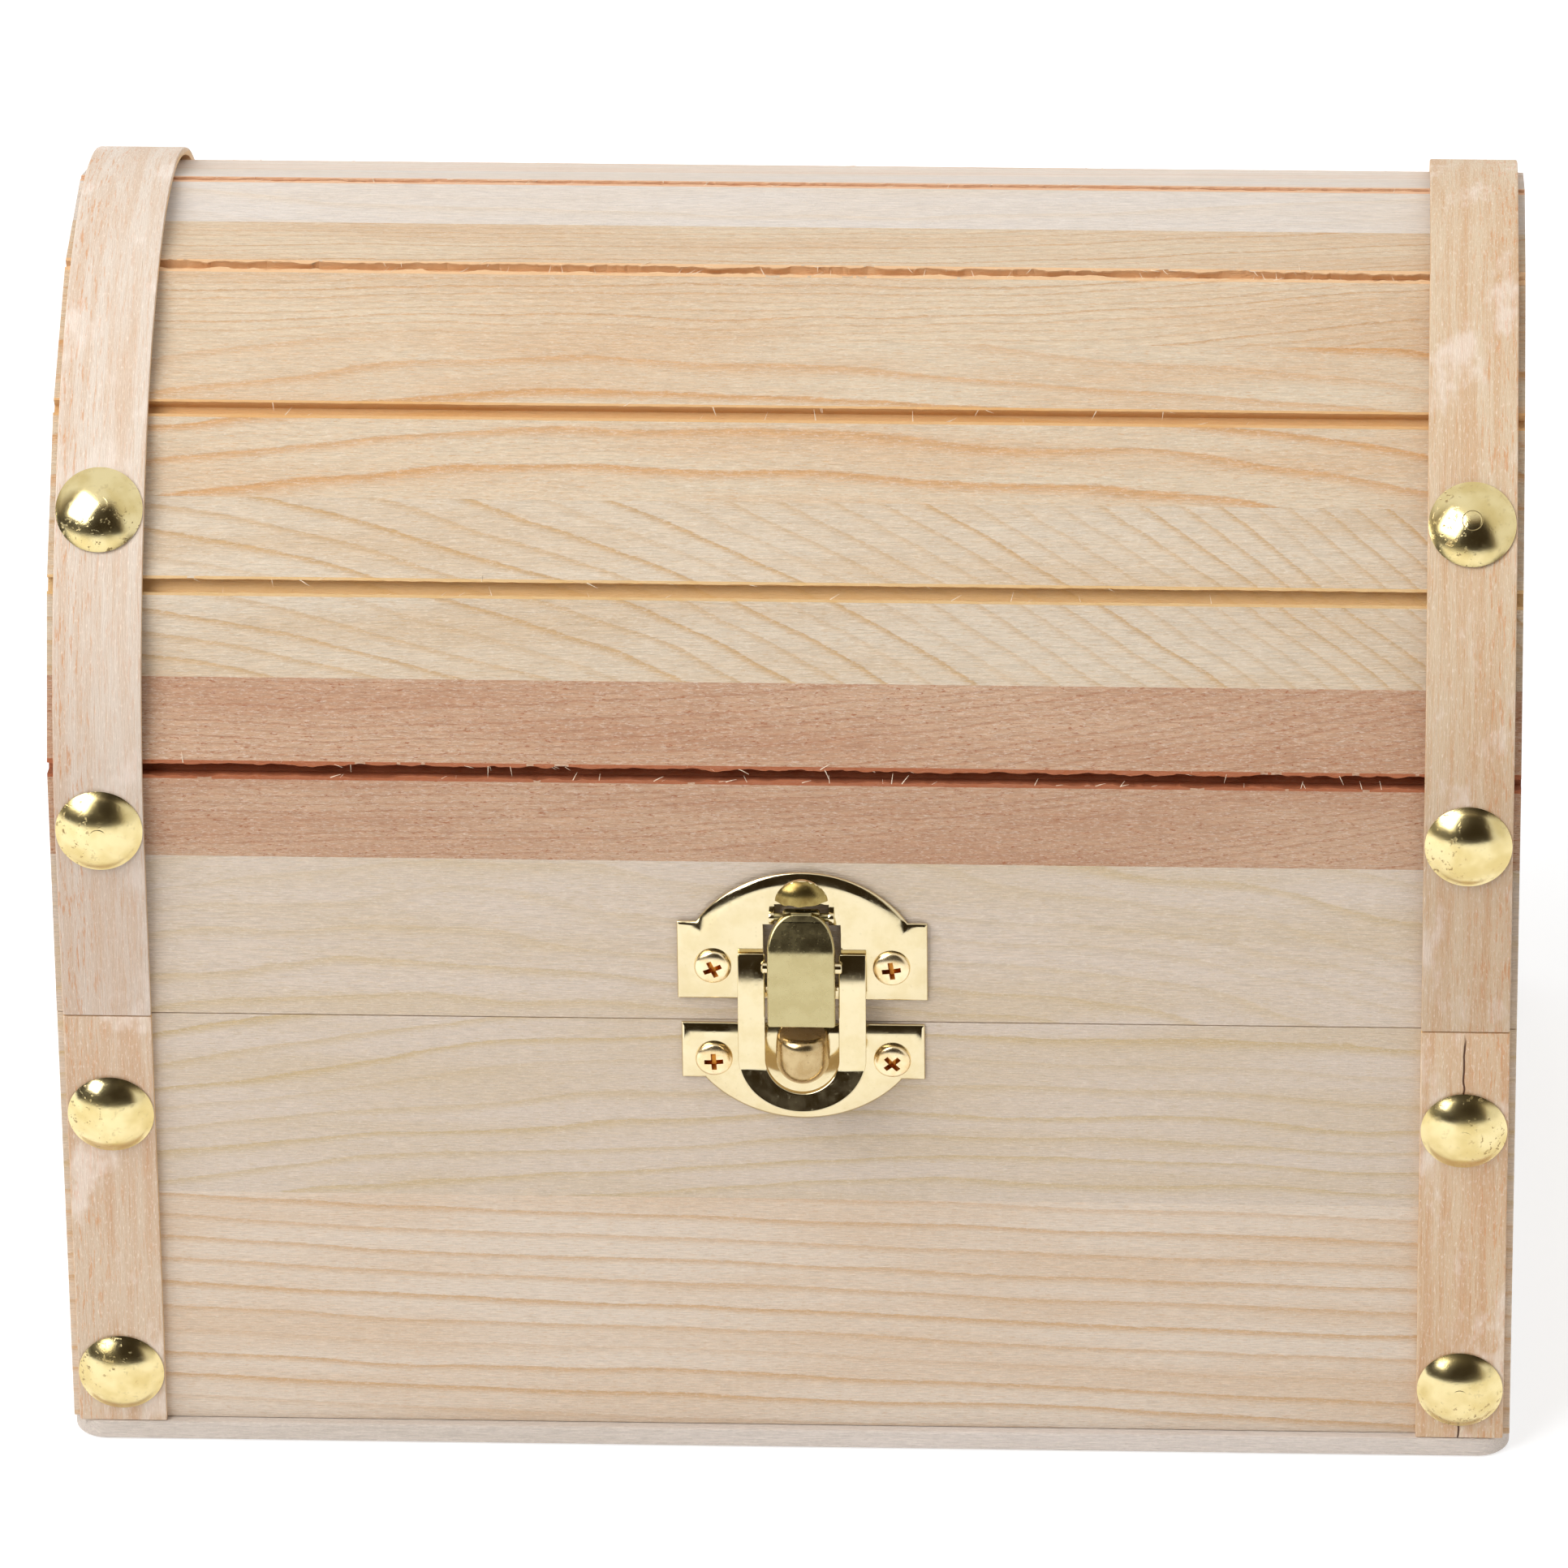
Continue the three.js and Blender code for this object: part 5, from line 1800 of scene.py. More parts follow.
@dataclass
class Latch:
    """The toggle latch: arched plate with hood and pin, lever, loop, keeper plate with its nose."""

    sheet: float = 0.7 * MM
    touch: float = 0.05 * MM
    rim_edge: float = 0.20 * MM
    rim_steps: tuple[Point, ...] = (
        (0.12, 0.16), (0.30, 0.17), (0.55, 0.23), (0.55, 0.155), (0.30, 0.02),
    )
    lower_top: float = 61.8 * MM
    arch_half_upper: float = 13.0 * MM
    arch_rise_upper: float = 7.1 * MM
    arch_half_lower: float = 12.2 * MM
    arch_drop_lower: float = 5.8 * MM
    arch_steps: int = 28
    lever_half: float = 4.15 * MM
    lever_bend: float = 4.2 * MM
    lever_cheek: float = 0.6 * MM
    lever_arch: float = 1.12 * MM
    lever_tail: float = 13.9 * MM
    lever_out: float = 4.9 * MM
    knuckle: float = 1.05 * MM
    pivot_out: float = 1.5 * MM
    pivot_z: float = 77.8 * MM
    ear: float = 0.7 * MM
    ear_radius: float = 0.78 * MM
    ear_gap: float = 0.25 * MM
    hood_size: Colour = (3.6 * MM, 2.3 * MM, 3.0 * MM)
    hood_sheet: float = 0.4 * MM
    hood_base: float = 2.0 * MM
    loop_half: float = 7.9 * MM
    loop_slot: float = 4.55 * MM
    loop_arm_top: float = 1.4 * MM
    loop_pivot_out: float = 2.7 * MM
    loop_pivot_z: float = 71.3 * MM
    loop_end_drop: float = 12.5 * MM
    loop_lip: float = 6.9 * MM
    loop_flare: float = 15.0
    loop_flare_drop: float = 1.4 * MM
    loop_rod: float = 0.75 * MM
    off_nose: float = 0.1 * MM
    keeper_out: float = 3.3 * MM
    nose_ball: float = 3.3 * MM
    nose_stand: float = 1.85 * MM
    nose_z: float = 57.9 * MM
    raised: float = 1.0 * MM
    nose_steps: tuple[Point, ...] = (
        (1.2, 1.0), (1.2, 0.985), (0.6, 0.97), (0.35, 0.95), (0.22, 0.92), (0.12, 0.88),
    )
    edge: float = 0.16 * MM

    def __post_init__(self) -> None:
        """Take the latch's centre and the front face from the frame."""
        low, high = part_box("latch_upper_plate")
        self.centre = (low.x + high.x) / 2
        self.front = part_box("box_front")[0].y
        self.upper_low, self.upper_high = low, high

    def build(self) -> None:
        """Make and dress every piece of the latch."""
        plate, lever, screw = PLATE_BRASS.build(), LEVER_BRASS.build(), SCREW_BRASS.build()
        recess = RECESS_BRASS.build()
        upper = self.upper_plate()
        finish_piece(upper, Body.LID, Slot.BRASS, ["latch_upper_plate"], plate, HOOD_DARK_REFLECTION_BRASS.build())
        lower = self.lower_plate()
        finish_piece(lower, Body.BOX, Slot.BRASS, ["latch_lower_plate"], plate, NOSE_SHADED_BRASS.build())
        finish_piece(self.lever(), Body.LEVER, Slot.BRASS, ["latch_lever"], lever)
        finish_piece(self.loop(), Body.LOOP, Slot.BRASS, ["latch_loop"], plate)
        finish_piece(self.pin(), Body.LID, Slot.BRASS, ["latch_pin"], lever)
        self.screws(screw, recess)

    def arched(self, half: float, base: float, shoulder: float, arch: float, crest: float) -> Outline:
        """A plate outline in (x, z): straight sides at one level and an arched far edge.

        Args:
            half: Half width.
            base: Level of the straight edge.
            shoulder: Level of the shoulders.
            arch: Half chord of the arch.
            crest: Level of the arch's crest.

        Returns:
            The outline.
        """
        rise = abs(crest - shoulder)
        radius = (arch * arch + rise * rise) / (2 * rise)
        way = 1 if crest > shoulder else -1
        spread = math.asin(arch / radius)
        bow = [
            (self.centre + radius * x, crest - way * radius * (1 - z))
            for x, z in fan(math.pi / 2 - spread, 2 * spread, self.arch_steps)
        ]
        return [
            (self.centre - half, base), (self.centre + half, base),
            (self.centre + half, shoulder), *bow, (self.centre - half, shoulder),
        ]

    def pressed_plate(self, name: str, outline: Outline) -> Piece:
        """A sheet pressed to an outline, its rim rolled back to the wood all round.

        Args:
            name: The piece's name.
            outline: The (x, z) outline.

        Returns:
            The plate.
        """
        plate = plan_blank(name, outline, self.front - self.touch, -self.rim_edge)
        with editing(plate):
            pick_faces(plate, lambda centre, normal: normal.y < -0.9)
            for inward, rise in self.rim_steps:
                bpy.ops.mesh.inset(thickness=inward * MM, depth=rise * MM)
        return plate

    def upper_plate(self) -> Piece:
        """The lid's plate with its window, pressed hood and ears.

        Returns:
            The plate.
        """
        low, high = self.upper_low, self.upper_high
        half = (high.x - low.x) / 2
        shoulder = high.z - self.arch_rise_upper
        outline = self.arched(half, low.z, shoulder, self.arch_half_upper, high.z)
        plate = self.pressed_plate("latch_plate_upper", outline)
        window = self.lever_half + 0.6 * MM
        back, face = self.front + 1 * MM, self.front - 3 * MM
        carve(plate, block(
            "window", (self.centre - window, face, low.z + 2.2 * MM),
            (self.centre + window, back, self.pivot_z - self.knuckle - 0.4 * MM),
        ))
        notch = self.lever_half - self.lever_cheek - self.ear_gap
        carve(plate, block(
            "notch", (self.centre - notch, face, self.pivot_z - self.knuckle - 1 * MM),
            (self.centre + notch, back, self.pivot_z + self.knuckle + 0.4 * MM),
        ))
        soften(plate, 0.06 * MM, 1, 60)
        parts = [plate, self.hood()]
        for sign in (-1, 1):
            ends = (self.centre + sign * notch, self.centre + sign * (notch + self.ear))
            parts.append(self.ear_lug(min(ends), max(ends)))
        plate = joined("latch_plate_upper", parts)
        smooth(plate, 40)
        # The hood's faces take the second finish, the darker brass of painted dark reflection.
        self.mark_raised(plate, self.hood_size[0] + self.touch, self.pivot_z + self.hood_base - self.ear_gap)
        return plate

    def ear_lug(self, low: float, high: float) -> Piece:
        """One lug that carries the lever's pin, round at its nose.

        Args:
            low: The lower end.
            high: The upper end.

        Returns:
            The lug.
        """
        radius, foot, axis = self.ear_radius, self.front - self.touch, self.front - self.pivot_out
        nose = [(axis + radius * y, self.pivot_z + radius * z) for y, z in fan(math.pi / 2, math.pi, 12)]
        points = [(foot, self.pivot_z + radius), *nose, (foot, self.pivot_z - radius)]
        lug = section_blank("ear", points, low, high)
        soften(lug, 0.1 * MM, 2, 60)
        return lug

    def hood(self) -> Piece:
        """The pressed hood over the lever's pivot: a thin half cone with a torn lower edge.

        Returns:
            The hood.
        """
        wide, out, rise = self.hood_size
        base = self.pivot_z + self.hood_base
        bpy.ops.mesh.primitive_cone_add(
            vertices=72, radius1=1, radius2=0.08, depth=1, location=(0, 0, 0.5),
        )
        hood = bpy.context.object
        settle(hood)
        with editing(hood):
            pick_faces(hood, lambda centre, normal: normal.z < -0.9)
            bpy.ops.mesh.delete(type="FACE")
            divide([(0, 0, i / 9) for i in range(1, 9)], (0, 0, 1))
        for vertex in hood.data.vertices:
            share = vertex.co.z
            reach = 1 - 0.92 * share
            lift = math.sin(math.radians(86) * share)
            wider = math.cos(math.radians(86) * share) / reach
            deeper = math.cos(math.radians(80) * share) / reach
            vertex.co.x = self.centre + wide * wider * vertex.co.x
            vertex.co.y = self.front + out * deeper * vertex.co.y
            vertex.co.z = base + rise * lift
            if share < 0.01:
                vertex.co.z += 0.3 * MM * ripple(vertex.co.x, 0.9 * MM, 2.0)
        with editing(hood):
            divide([(0, self.front - self.sheet / 2, 0)], (0, 1, 0), clear=True)
        apply_modifier(hood, "SOLIDIFY", thickness=self.hood_sheet, offset=-1)
        smooth(hood, 50)
        return hood

    def lower_plate(self) -> Piece:
        """The keeper plate: straight rolled top, arched bottom, and the nose that holds the loop.

        Returns:
            The plate.
        """
        low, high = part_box("latch_lower_plate")
        half = (high.x - low.x) / 2
        shoulder = low.z + self.arch_drop_lower
        outline = self.arched(half, self.lower_top, shoulder, self.arch_half_lower, low.z)
        plate = self.pressed_plate("latch_plate_lower", outline)
        soften(plate, 0.06 * MM, 1, 60)
        plate = joined("latch_plate_lower", [plate, self.nose()])
        smooth(plate, 40)
        # The nose's faces take the second finish, the darker brass of painted shade and reflection.
        self.mark_raised(plate, self.nose_ball + self.touch, self.nose_z - self.nose_ball - self.touch)
        return plate

    def mark_raised(self, plate: Piece, half: float, low: float) -> None:
        """Give the faces that a plate's raised middle part shows the second material.

        Args:
            plate: The plate.
            half: The raised part's half width.
            low: The raised part's lowest z.
        """
        # The second finish is darker brass: painted dark reflection on the hood, painted shade and reflection
        # on the nose.
        two_finishes(plate, lambda face: (
            abs(face.center.x - self.centre) < half and face.center.z > low
            and self.front - face.center.y > self.raised
        ))

    def nose(self) -> Piece:
        """The keeper's nose: a ball that stands through the loop, drawn up to a flat shelf.

        Returns:
            The nose.
        """
        axis = self.front - self.nose_stand
        bpy.ops.mesh.primitive_uv_sphere_add(
            segments=48, ring_count=32, radius=self.nose_ball, location=(self.centre, axis, self.nose_z),
        )
        nose = bpy.context.object
        settle(nose)
        with editing(nose):
            divide([(0, self.front - self.touch, 0)], (0, 1, 0), clear=True)
            divide([(0, 0, self.nose_z)], (0, 0, 1), clear=True)
        with editing(nose, "EDGE"):
            pick_edges(nose, lambda m, way: m.z > self.nose_z - 0.01 * MM and abs(way.z) < 0.1)
            for rise, grow in self.nose_steps:
                bpy.ops.mesh.extrude_edges_move(TRANSFORM_OT_translate={"value": (0, 0, rise * MM)})
                bpy.ops.transform.resize(
                    value=(grow, grow, 1), center_override=(self.centre, self.front, self.nose_z),
                )
            bpy.ops.mesh.edge_face_add()
        return nose

    def lever_web(self) -> Outline:
        """The lever's section in (y, z): straight face, then sloping back to the pivot.

        Returns:
            The section.
        """
        face, inner = self.lever_out, self.lever_out - self.sheet
        tail, bend = self.lever_tail, self.lever_bend
        fall = [(0.0, 0.0), (-0.42, 1.3), (-1.1, 2.8), (-1.95, 4.35), (-2.55, 5.25)]
        front = [(face + out * MM, -bend + rise * MM) for out, rise in fall]
        back = [(inner + 0.9 * out * MM, -bend - 0.3 * MM + 0.96 * rise * MM) for out, rise in fall]
        spots = [(face, -tail), (inner, -tail), *back, *reversed(front)]
        return [(self.front - out, self.pivot_z + rise) for out, rise in spots]

    def lever(self) -> Piece:
        """The lever: bent sheet with an arched top, side cheeks and a rolled knuckle.

        Returns:
            The lever.
        """
        low, high = self.centre - self.lever_half, self.centre + self.lever_half
        lever = section_blank("latch_toggle_lever", self.lever_web(), low, high)
        base = self.pivot_z - self.lever_bend + 0.5 * MM
        rise = self.lever_bend + self.lever_arch - 0.5 * MM
        foot = self.pivot_z - self.lever_tail - 1 * MM
        plan = [(low, foot), (high, foot)]
        plan += [
            (self.centre + self.lever_half * self.squarer(x), base + rise * self.squarer(z))
            for x, z in fan(0, math.pi, 24)
        ]
        carve(lever, plan_blank("plan", plan, self.front - 0.1 * MM, -8 * MM), "INTERSECT")
        self.clean_cuts(lever)
        soften(lever, 0.32 * MM, 4, 45, clamp=False)
        knuckle = self.bar(
            "knuckle", self.knuckle, low + 1.9 * MM, high - 1.9 * MM,
            self.front - self.pivot_out, self.pivot_z,
        )
        parts = [lever, knuckle, self.cheek(low, low + self.lever_cheek)]
        parts.append(self.cheek(high - self.lever_cheek, high))
        lever = joined("latch_toggle_lever", parts)
        smooth(lever, 40)
        return lever

    def squarer(self, part: float) -> float:
        """A sine or cosine, pushed outwards so that the arch is a little fuller than an ellipse."""
        return math.copysign(abs(part) ** 0.88, part)

    def clean_cuts(self, piece: Piece) -> None:
        """Dissolve the flat scraps that a cut leaves, so that the edges can be rounded.

        Args:
            piece: The mesh object.
        """
        with shaping(piece):
            bpy.ops.mesh.remove_doubles(threshold=0.01 * MM)
            bpy.ops.mesh.dissolve_limited(angle_limit=math.radians(3))

    def cheek(self, low: float, high: float) -> Piece:
        """One side cheek of the lever, which carries the loop's rod.

        Args:
            low: The lower end.
            high: The upper end.

        Returns:
            The cheek.
        """
        inner = self.lever_out - self.sheet
        drop = self.pivot_z - self.loop_pivot_z
        spots = [
            (inner + 0.3 * MM, -self.lever_tail + 0.4 * MM), (inner - 0.6 * MM, -self.lever_tail + 0.4 * MM),
            (self.loop_pivot_out - 1.2 * MM, -drop - 1.5 * MM),
            (self.loop_pivot_out - 1.2 * MM, -drop + 1.3 * MM),
            (self.loop_pivot_out - 0.2 * MM, -self.lever_bend + 0.4 * MM),
            (inner + 0.1 * MM, -self.lever_bend + 0.2 * MM),
        ]
        points = [(self.front - out, self.pivot_z + rise) for out, rise in spots]
        cheek = section_blank("cheek", points, low, high)
        soften(cheek, 0.12 * MM, 2, 30)
        return cheek

    def bar(self, name: str, radius: float, low: float, high: float, y: float, z: float) -> Piece:
        """A round bar along X with eased ends.

        Args:
            name: The piece's name.
            radius: Its radius.
            low: Lowest x.
            high: Highest x.
            y: Its axis.
            z: Its axis.

        Returns:
            The bar.
        """
        ease = radius * 0.25
        bar = turned(name, [
            (radius - ease, low), (radius, low + ease), (radius, high - ease), (radius - ease, high),
            (radius * 0.4, high + ease * 0.3 if name.endswith("pin") else high), (0, high),
        ], 32)
        bar.data.transform(Matrix.Translation((0, y, z)) @ Matrix.Rotation(math.pi / 2, 4, "Y"))
        smooth(bar, 50)
        return bar

    def pin(self) -> Piece:
        """The pin through the ears and the lever's knuckle.

        Returns:
            The pin.
        """
        low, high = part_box("latch_pin")
        radius = (high.z - low.z) / 2
        return self.bar("latch_hinge_pin", radius, low.x, high.x, (low.y + high.y) / 2, (low.z + high.z) / 2)

    def loop(self) -> Piece:
        """The loop that drops over the nose: two arms rolled over their rod and a flared round lip.

        Returns:
            The loop.
        """
        half, slot, top = self.loop_half, self.loop_slot, self.loop_arm_top
        end = -self.loop_end_drop
        outline = [(half, top), (-half, top)]
        outline += [(half * x, end + self.loop_lip * z) for x, z in fan(math.pi, math.pi, 40)]
        inside = [(slot, top + 2 * MM), (-slot, top + 2 * MM)]
        inside += [(slot * x, end + slot * z) for x, z in fan(math.pi, math.pi, 32)]
        loop = plan_blank("latch_loop_sheet", outline, self.sheet / 2, -self.sheet)
        carve(loop, plan_blank("slot", inside, 3 * MM, -6 * MM))
        self.clean_cuts(loop)
        self.bend_loop(loop)
        soften(loop, self.edge, 3, 40)
        rod = self.bar("rod", self.loop_rod, -slot - 0.4 * MM, slot + 0.4 * MM, 0, 0)
        loop = joined("latch_loop_sheet", [loop, rod])
        bar_drop = self.loop_end_drop + slot
        stand = self.keeper_out + self.off_nose + self.sheet / 2 - self.loop_pivot_out
        lean = Matrix.Rotation(-math.asin(stand / bar_drop), 4, "X")
        place = Matrix.Translation((self.centre, self.front - self.loop_pivot_out, self.loop_pivot_z))
        loop.data.transform(place @ lean)
        smooth(loop, 35)
        return loop

    def bend_loop(self, loop: Piece) -> None:
        """Roll the arms' tops back over the rod and flare the lip, in small steps.

        Args:
            loop: The flat loop.
        """
        crease = -self.loop_end_drop - self.loop_flare_drop
        levels = [crease + 0.25 * MM, crease, crease - 0.25 * MM]
        levels += [self.loop_arm_top - 0.5 * MM * i for i in range(1, 14)]
        with editing(loop):
            divide([(0, 0, level) for level in levels], (0, 0, 1))
        roll_start, roll_radius = self.loop_arm_top - 6.5 * MM, 16 * MM
        for vertex in loop.data.vertices:
            z = vertex.co.z
            if z < crease - 0.2 * MM:
                turn = math.radians(self.loop_flare)
                down, out = z - crease, vertex.co.y
                vertex.co.z = crease + down * math.cos(turn) + out * math.sin(turn) * 0.5
                vertex.co.y = out * math.cos(turn) + down * math.sin(turn)
            elif z > roll_start:
                angle = (z - roll_start) / roll_radius
                reach = roll_radius - vertex.co.y
                vertex.co.z = roll_start + reach * math.sin(angle)
                vertex.co.y = roll_radius - reach * math.cos(angle)

    def screws(self, material: Finish, recess: Finish) -> None:
        """The four latch screws, each stopped at its own turn.

        Args:
            material: Its finish.
            recess: The finish of the screws' recesses.
        """
        model = Screw(2.3 * MM, 1.2 * MM).model()
        spots = (
            ("upper_left", Body.LID, 24, 2.0), ("upper_right", Body.LID, 8, -3.0),
            ("lower_left", Body.BOX, 3, 1.5), ("lower_right", Body.BOX, 42, 2.5),
        )
        for name, body, degrees, tip in spots:
            node = f"latch_screw_{name}"
            low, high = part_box(node)
            seat = low.y + model.dimensions.z - Screw(2.3 * MM, 1.2 * MM).length
            place = Matrix.Translation(((low.x + high.x) / 2, seat, (low.z + high.z) / 2))
            turn = Matrix.Rotation(math.pi / 2 + math.radians(tip), 4, "X")
            twist = Matrix.Rotation(math.radians(degrees), 4, "Z")
            screw = duplicate(model, f"pan_screw_{name}", place @ turn @ twist)
            finish_piece(screw, body, Slot.BRASS, [node], material, recess)
        bpy.data.objects.remove(model)


# ---------------------------------------------------------------- hinges


@dataclass
class Hinges:
    """Two butt hinges on the back, each with two leaves, a pin and four screws."""

    leaf: float = 0.8 * MM
    knuckle: float = 1.65 * MM
    gap: float = 0.25 * MM
    corner: float = 1.2 * MM
    screw_x: float = 7.5 * MM

    def build(self) -> None:
        """Make and dress both hinges."""
        plate, screw, recess = PLATE_BRASS.build(), SCREW_BRASS.build(), RECESS_BRASS.build()
        model = Screw(1.9 * MM, 0.9 * MM).model()
        for side in ("left", "right"):
            self.leaves(side, plate)
            self.pin(side, plate)
            for part, body in (("box", Body.BOX), ("lid", Body.LID)):
                for hand, degrees in (("a", 15), ("b", 70)):
                    self.screw(model, f"{side}_{part}_{hand}", body, degrees, (screw, recess))
        bpy.data.objects.remove(model)

    def leaves(self, side: str, material: Finish) -> None:
        """Both leaves of one hinge: the box's has the outer knuckles, the lid's the middle one.

        Args:
            side: Left or right, as in the piece names.
            material: Its finish.
        """
        pin_low, pin_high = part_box(f"hinge_{side}_pin")
        axis_y, axis_z = (pin_low.y + pin_high.y) / 2, (pin_low.z + pin_high.z) / 2
        for part, body, way in (("box", Body.BOX, -1), ("lid", Body.LID, 1)):
            node = f"hinge_{side}_{part}_leaf"
            low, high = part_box(node)
            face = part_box("box_back")[1].y + 0.05 * MM
            near = axis_z + way * (self.knuckle + self.gap)
            far = low.z if way < 0 else high.z
            bottom, top = sorted((near, far))
            third = (pin_high.x - pin_low.x - 0.6 * MM) / 6
            middle = (pin_low.x + pin_high.x) / 2
            spans = [(-third + self.gap / 2, third - self.gap / 2)]
            if way < 0:
                spans = [(-3 * third, -third - self.gap / 2), (third + self.gap / 2, 3 * third)]
            half = 3 * third
            plate = block("leaf", (middle - half, face, bottom), (middle + half, face + self.leaf, top))
            with editing(plate, "EDGE"):
                pick_edges(plate, lambda m, d, f=far: abs(d.y) > 0.9 and abs(m.z - f) < 0.1 * MM)
                bpy.ops.mesh.bevel(offset=self.corner, segments=6, affect="EDGES")
            soften(plate, 0.12 * MM, 2, 50)
            pieces = [plate]
            for start, stop in spans:
                pieces += self.roll(middle + start, middle + stop, axis_y, axis_z, face, near, way)
            leaf = joined(f"hinge_leaf_{part}_{side}", pieces)
            smooth(leaf, 40)
            finish_piece(leaf, body, Slot.BRASS, [node], material)

    def roll(
        self, low: float, high: float, y: float, z: float, face: float, near: float, way: int,
    ) -> list[Piece]:
        """One knuckle: a rolled barrel and the tongue that joins it to its leaf.

        Args:
            low: Lowest x.
            high: Highest x.
            y: The hinge axis.
            z: The hinge axis.
            face: Back face of the boards.
            near: The leaf's edge beside the knuckle.
            way: -1 for the box's leaf, 1 for the lid's.

        Returns:
            The barrel and the tongue.
        """
        ease = 0.15 * MM
        radius = self.knuckle
        barrel = turned("barrel", [
            (0.85 * MM, low + 0.1 * MM), (1.0 * MM, low), (radius - ease, low), (radius, low + ease),
            (radius, high - ease), (radius - ease, high), (1.0 * MM, high), (0.85 * MM, high - 0.1 * MM),
            (0, high - 0.1 * MM),
        ], 36)
        barrel.data.transform(Matrix.Translation((0, y, z)) @ Matrix.Rotation(math.pi / 2, 4, "Y"))
        edges = sorted((z, near + way * 0.2 * MM))
        tongue = block("tongue", (low, face, edges[0]), (high, face + self.leaf, edges[1]))
        soften(tongue, 0.08 * MM, 1, 50)
        return [barrel, tongue]

    def pin(self, side: str, material: Finish) -> None:
        """One hinge pin with slightly mushroomed ends.

        Args:
            side: Left or right, as in the piece names.
            material: Its finish.
        """
        node = f"hinge_{side}_pin"
        low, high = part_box(node)
        radius = (high.z - low.z) / 2
        pin = turned(f"hinge_rod_{side}", [
            (radius * 0.7, low.x), (radius * 0.98, low.x + 0.12 * MM), (radius * 0.98, high.x - 0.12 * MM),
            (radius * 0.7, high.x), (0, high.x),
        ], 32)
        middle = Matrix.Translation((0, (low.y + high.y) / 2, (low.z + high.z) / 2))
        pin.data.transform(middle @ Matrix.Rotation(math.pi / 2, 4, "Y"))
        smooth(pin, 50)
        finish_piece(pin, Body.BOX, Slot.BRASS, [node], material)

    def screw(
        self, model: Piece, name: str, body: Body, degrees: float,
        materials: tuple[Finish, Finish],
    ) -> None:
        """One hinge screw, head towards the back."""
        node = f"hinge_screw_{name}"
        low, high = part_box(node)
        seat = high.y - (model.dimensions.z - Screw(1.9 * MM, 0.9 * MM).length)
        place = Matrix.Translation(((low.x + high.x) / 2, seat, (low.z + high.z) / 2))
        turn = Matrix.Rotation(-math.pi / 2, 4, "X") @ Matrix.Rotation(math.radians(degrees), 4, "Z")
        screw = duplicate(model, f"small_screw_{name}", place @ turn)
        finish_piece(screw, body, Slot.BRASS, [node], *materials)


# ---------------------------------------------------------------- studio


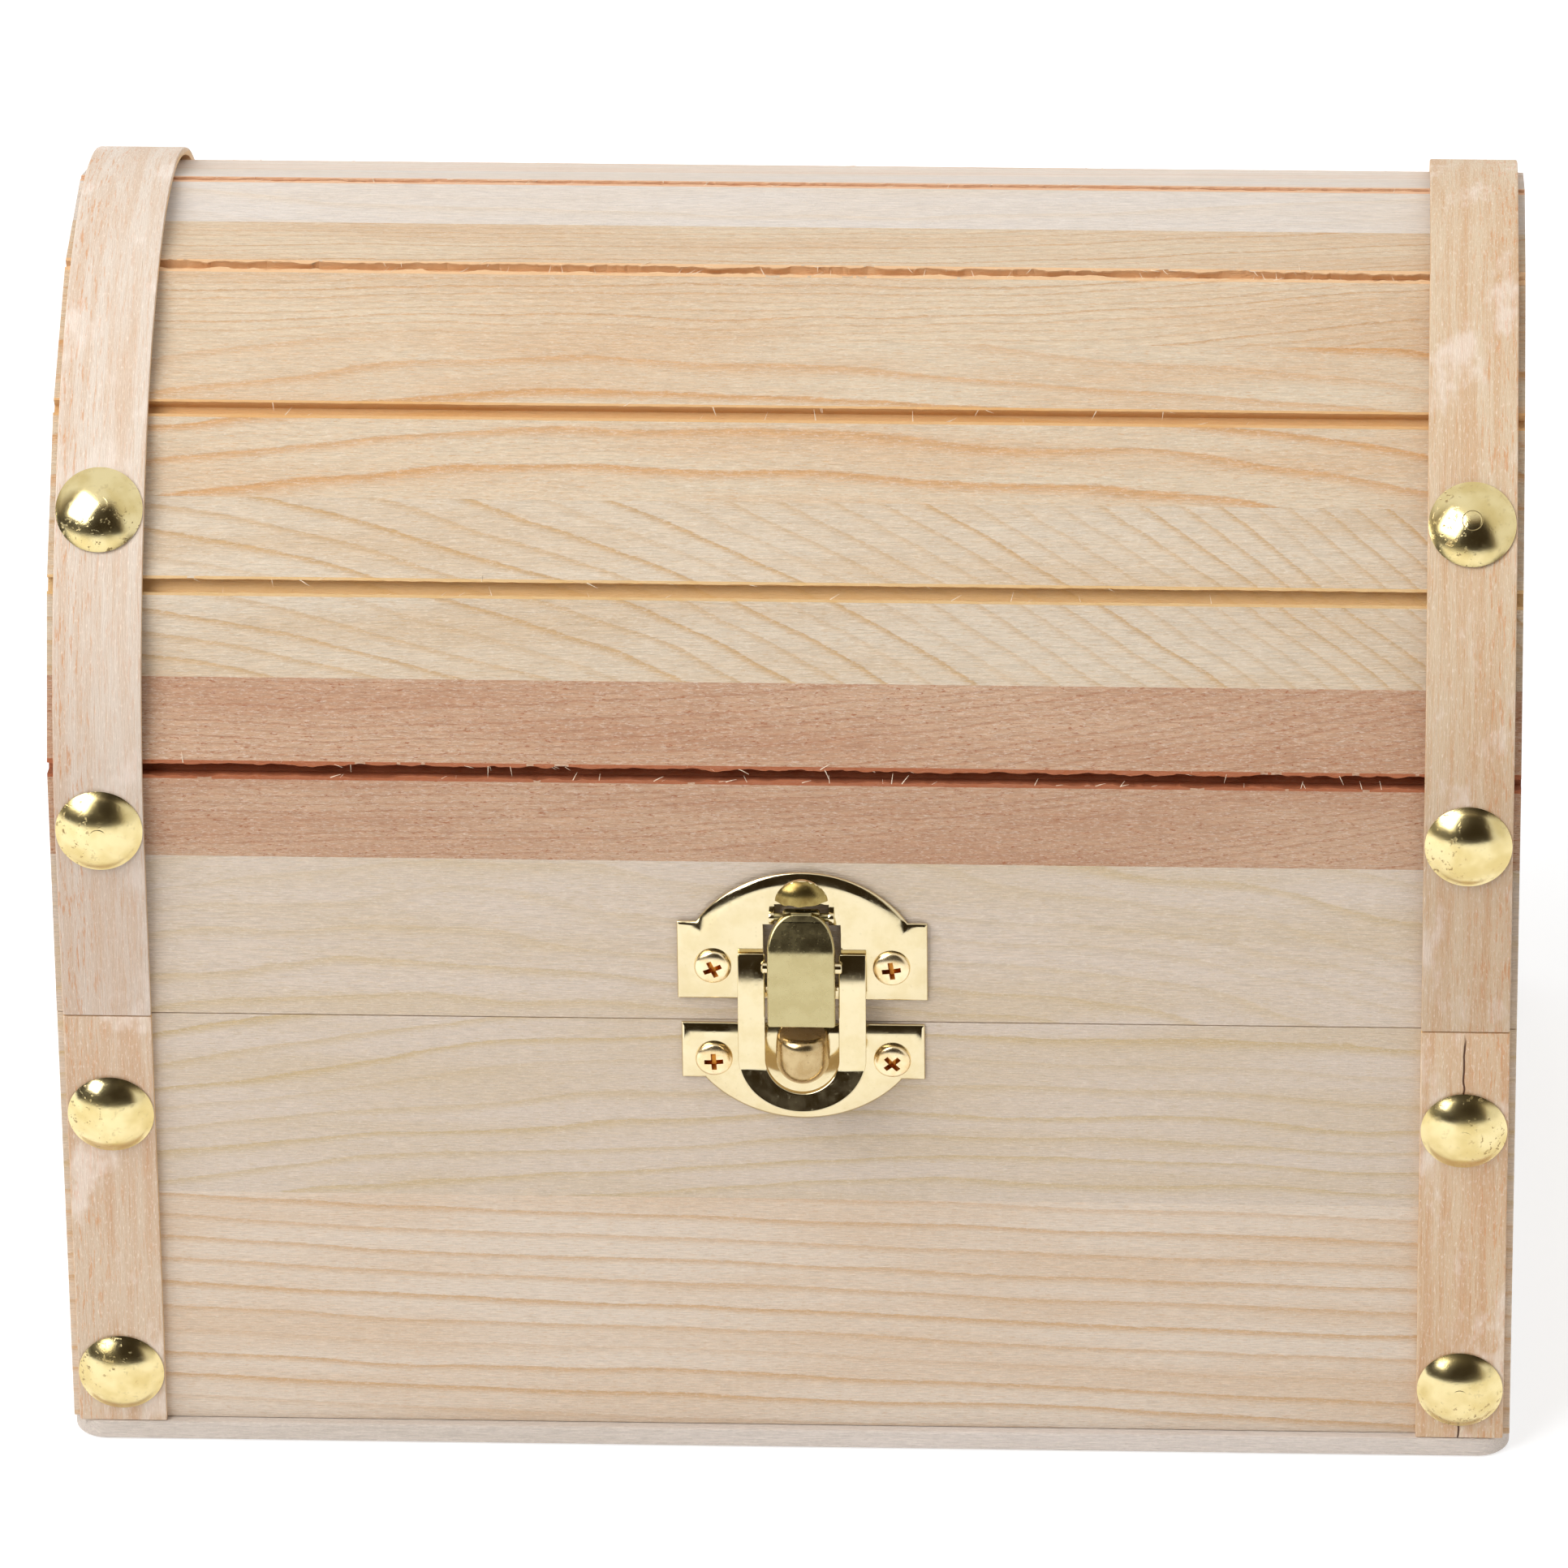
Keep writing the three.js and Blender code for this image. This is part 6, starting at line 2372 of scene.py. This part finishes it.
@dataclass
class Studio:
    """A pale floor, soft light with a dark side behind the camera, and the camera itself."""

    floor_radius: float = 12.0
    eye: Colour = (0.0703, -1.5319, 0.9650)
    look: Colour = (-0.04093, 0.86066, -0.50754)
    roll: float = -0.72
    lens: float = 322.4
    sky: float = 0.935
    dark: float = 0.028
    dark_tint: Colour = (1.0, 0.68, 0.30)
    dark_right: Point = (36, 52)
    dark_left: Point = (80, 115)
    dark_top: Point = (48, 72)
    key_power: float = 24.0
    key_place: Colour = (-0.86, -0.70, 1.12)
    key_size: Point = (1.1, 1.2)
    floor_glow: float = 0.56
    floor_tints: tuple[Colour, Colour] = ((0.53, 0.54, 0.55), (0.55, 0.56, 0.57))

    def build(self) -> None:
        """Set up the studio."""
        scene = bpy.context.scene
        scene.view_settings.view_transform = "Standard"
        scene.view_settings.look = "None"
        self.camera(scene)
        self.floor()
        self.world(scene)
        self.soft_box("key", self.key_place, self.key_size, self.key_power)

    def camera(self, scene: bpy.types.Scene) -> None:
        """The camera: a long lens, from above the front and slightly rolled.

        Args:
            scene: The scene.
        """
        forward = Vector(self.look).normalized()
        right = forward.cross(Vector((0, 0, 1))).normalized()
        up = right.cross(forward)
        turn = math.radians(self.roll)
        side = right * math.cos(turn) + up * math.sin(turn)
        top = up * math.cos(turn) - right * math.sin(turn)
        matrix = Matrix((side, top, -forward)).transposed().to_4x4()
        matrix.translation = Vector(self.eye)
        lens = bpy.data.cameras.new("camera")
        lens.lens = self.lens
        lens.clip_start, lens.clip_end = 0.1, 50
        camera = bpy.data.objects.new("camera", lens)
        camera.matrix_world = matrix
        scene.collection.objects.link(camera)
        scene.camera = camera

    def floor(self) -> None:
        """A wide, plain pale floor just under the box."""
        bpy.ops.mesh.primitive_circle_add(
            vertices=96, radius=self.floor_radius, fill_type="NGON", location=(0, 0, -0.2 * MM),
        )
        floor = bpy.context.object
        floor.name = "floor"
        settle(floor)
        bench = Bench("floor_white")
        cloud = bench.noise(bench.place(), 2, 0.5, 3.0)
        shade = bench.mix(cloud, *self.floor_tints)
        bench.coat(shade, 0.9, {"Emission Color": (1, 1, 1, 1), "Emission Strength": self.floor_glow})
        floor.data.materials.append(bench.material)

    def world(self, scene: bpy.types.Scene) -> None:
        """An even pale sky all round, except for a dark side in front and to the left.

        Args:
            scene: The scene.
        """
        world = bpy.data.worlds.new("studio")
        world.use_nodes = True
        scene.world = world
        wiring = Wiring(world.node_tree)
        step = wiring.math

        def fade(value: object, span: Point) -> Socket:
            """Smoothly from 1 to 0 as an angle goes over a span in degrees."""
            return wiring.window(value, math.radians(span[0]), math.radians(span[1]), 1.0, 0.0)

        east, north, height = wiring.split(wiring.add("ShaderNodeTexCoord").outputs["Generated"])
        around = step("ARCTAN2", east, step("MULTIPLY", north, -1))
        left = fade(step("MULTIPLY", around, -1), self.dark_left)
        sides = step("MULTIPLY", fade(around, self.dark_right), left)
        shade = step("MULTIPLY", sides, fade(step("ARCSINE", height), self.dark_top))
        level = step("MULTIPLY_ADD", shade, self.dark - self.sky, self.sky)
        depth = step("MULTIPLY", shade, shade)
        warm = wiring.grey(*(step("MULTIPLY_ADD", depth, share - 1, 1.0) for share in self.dark_tint))
        light = wiring.add("ShaderNodeBackground")
        wiring.feed(light.inputs["Strength"], level)
        wiring.feed(light.inputs["Color"], warm)
        wiring.feed(wiring.add("ShaderNodeOutputWorld").inputs[0], light.outputs[0])

    def soft_box(self, name: str, place: Colour, size: Point, power: float) -> None:
        """One soft box aimed at the money box.

        Args:
            name: Its name.
            place: Where it stands.
            size: Its width and height.
            power: Its power in watts.
        """
        light = bpy.data.lights.new(name, "AREA")
        light.shape = "RECTANGLE"
        light.size, light.size_y = size
        light.energy = power
        lamp = bpy.data.objects.new(name, light)
        lamp.location = place
        lamp.rotation_euler = (Vector((0, 0, 0.07)) - Vector(place)).to_track_quat("-Z", "Y").to_euler()
        bpy.context.scene.collection.objects.link(lamp)


def main() -> None:
    """Build the studio and every sub-assembly."""
    logging.basicConfig(level=logging.INFO, format="%(name)s: %(message)s")
    for part in (Studio(), Boards(), Lid(), Straps(), Nails(), Latch(), Hinges()):
        log.info("building %s", type(part).__name__)
        part.build()


if __name__ == "__main__":
    main()
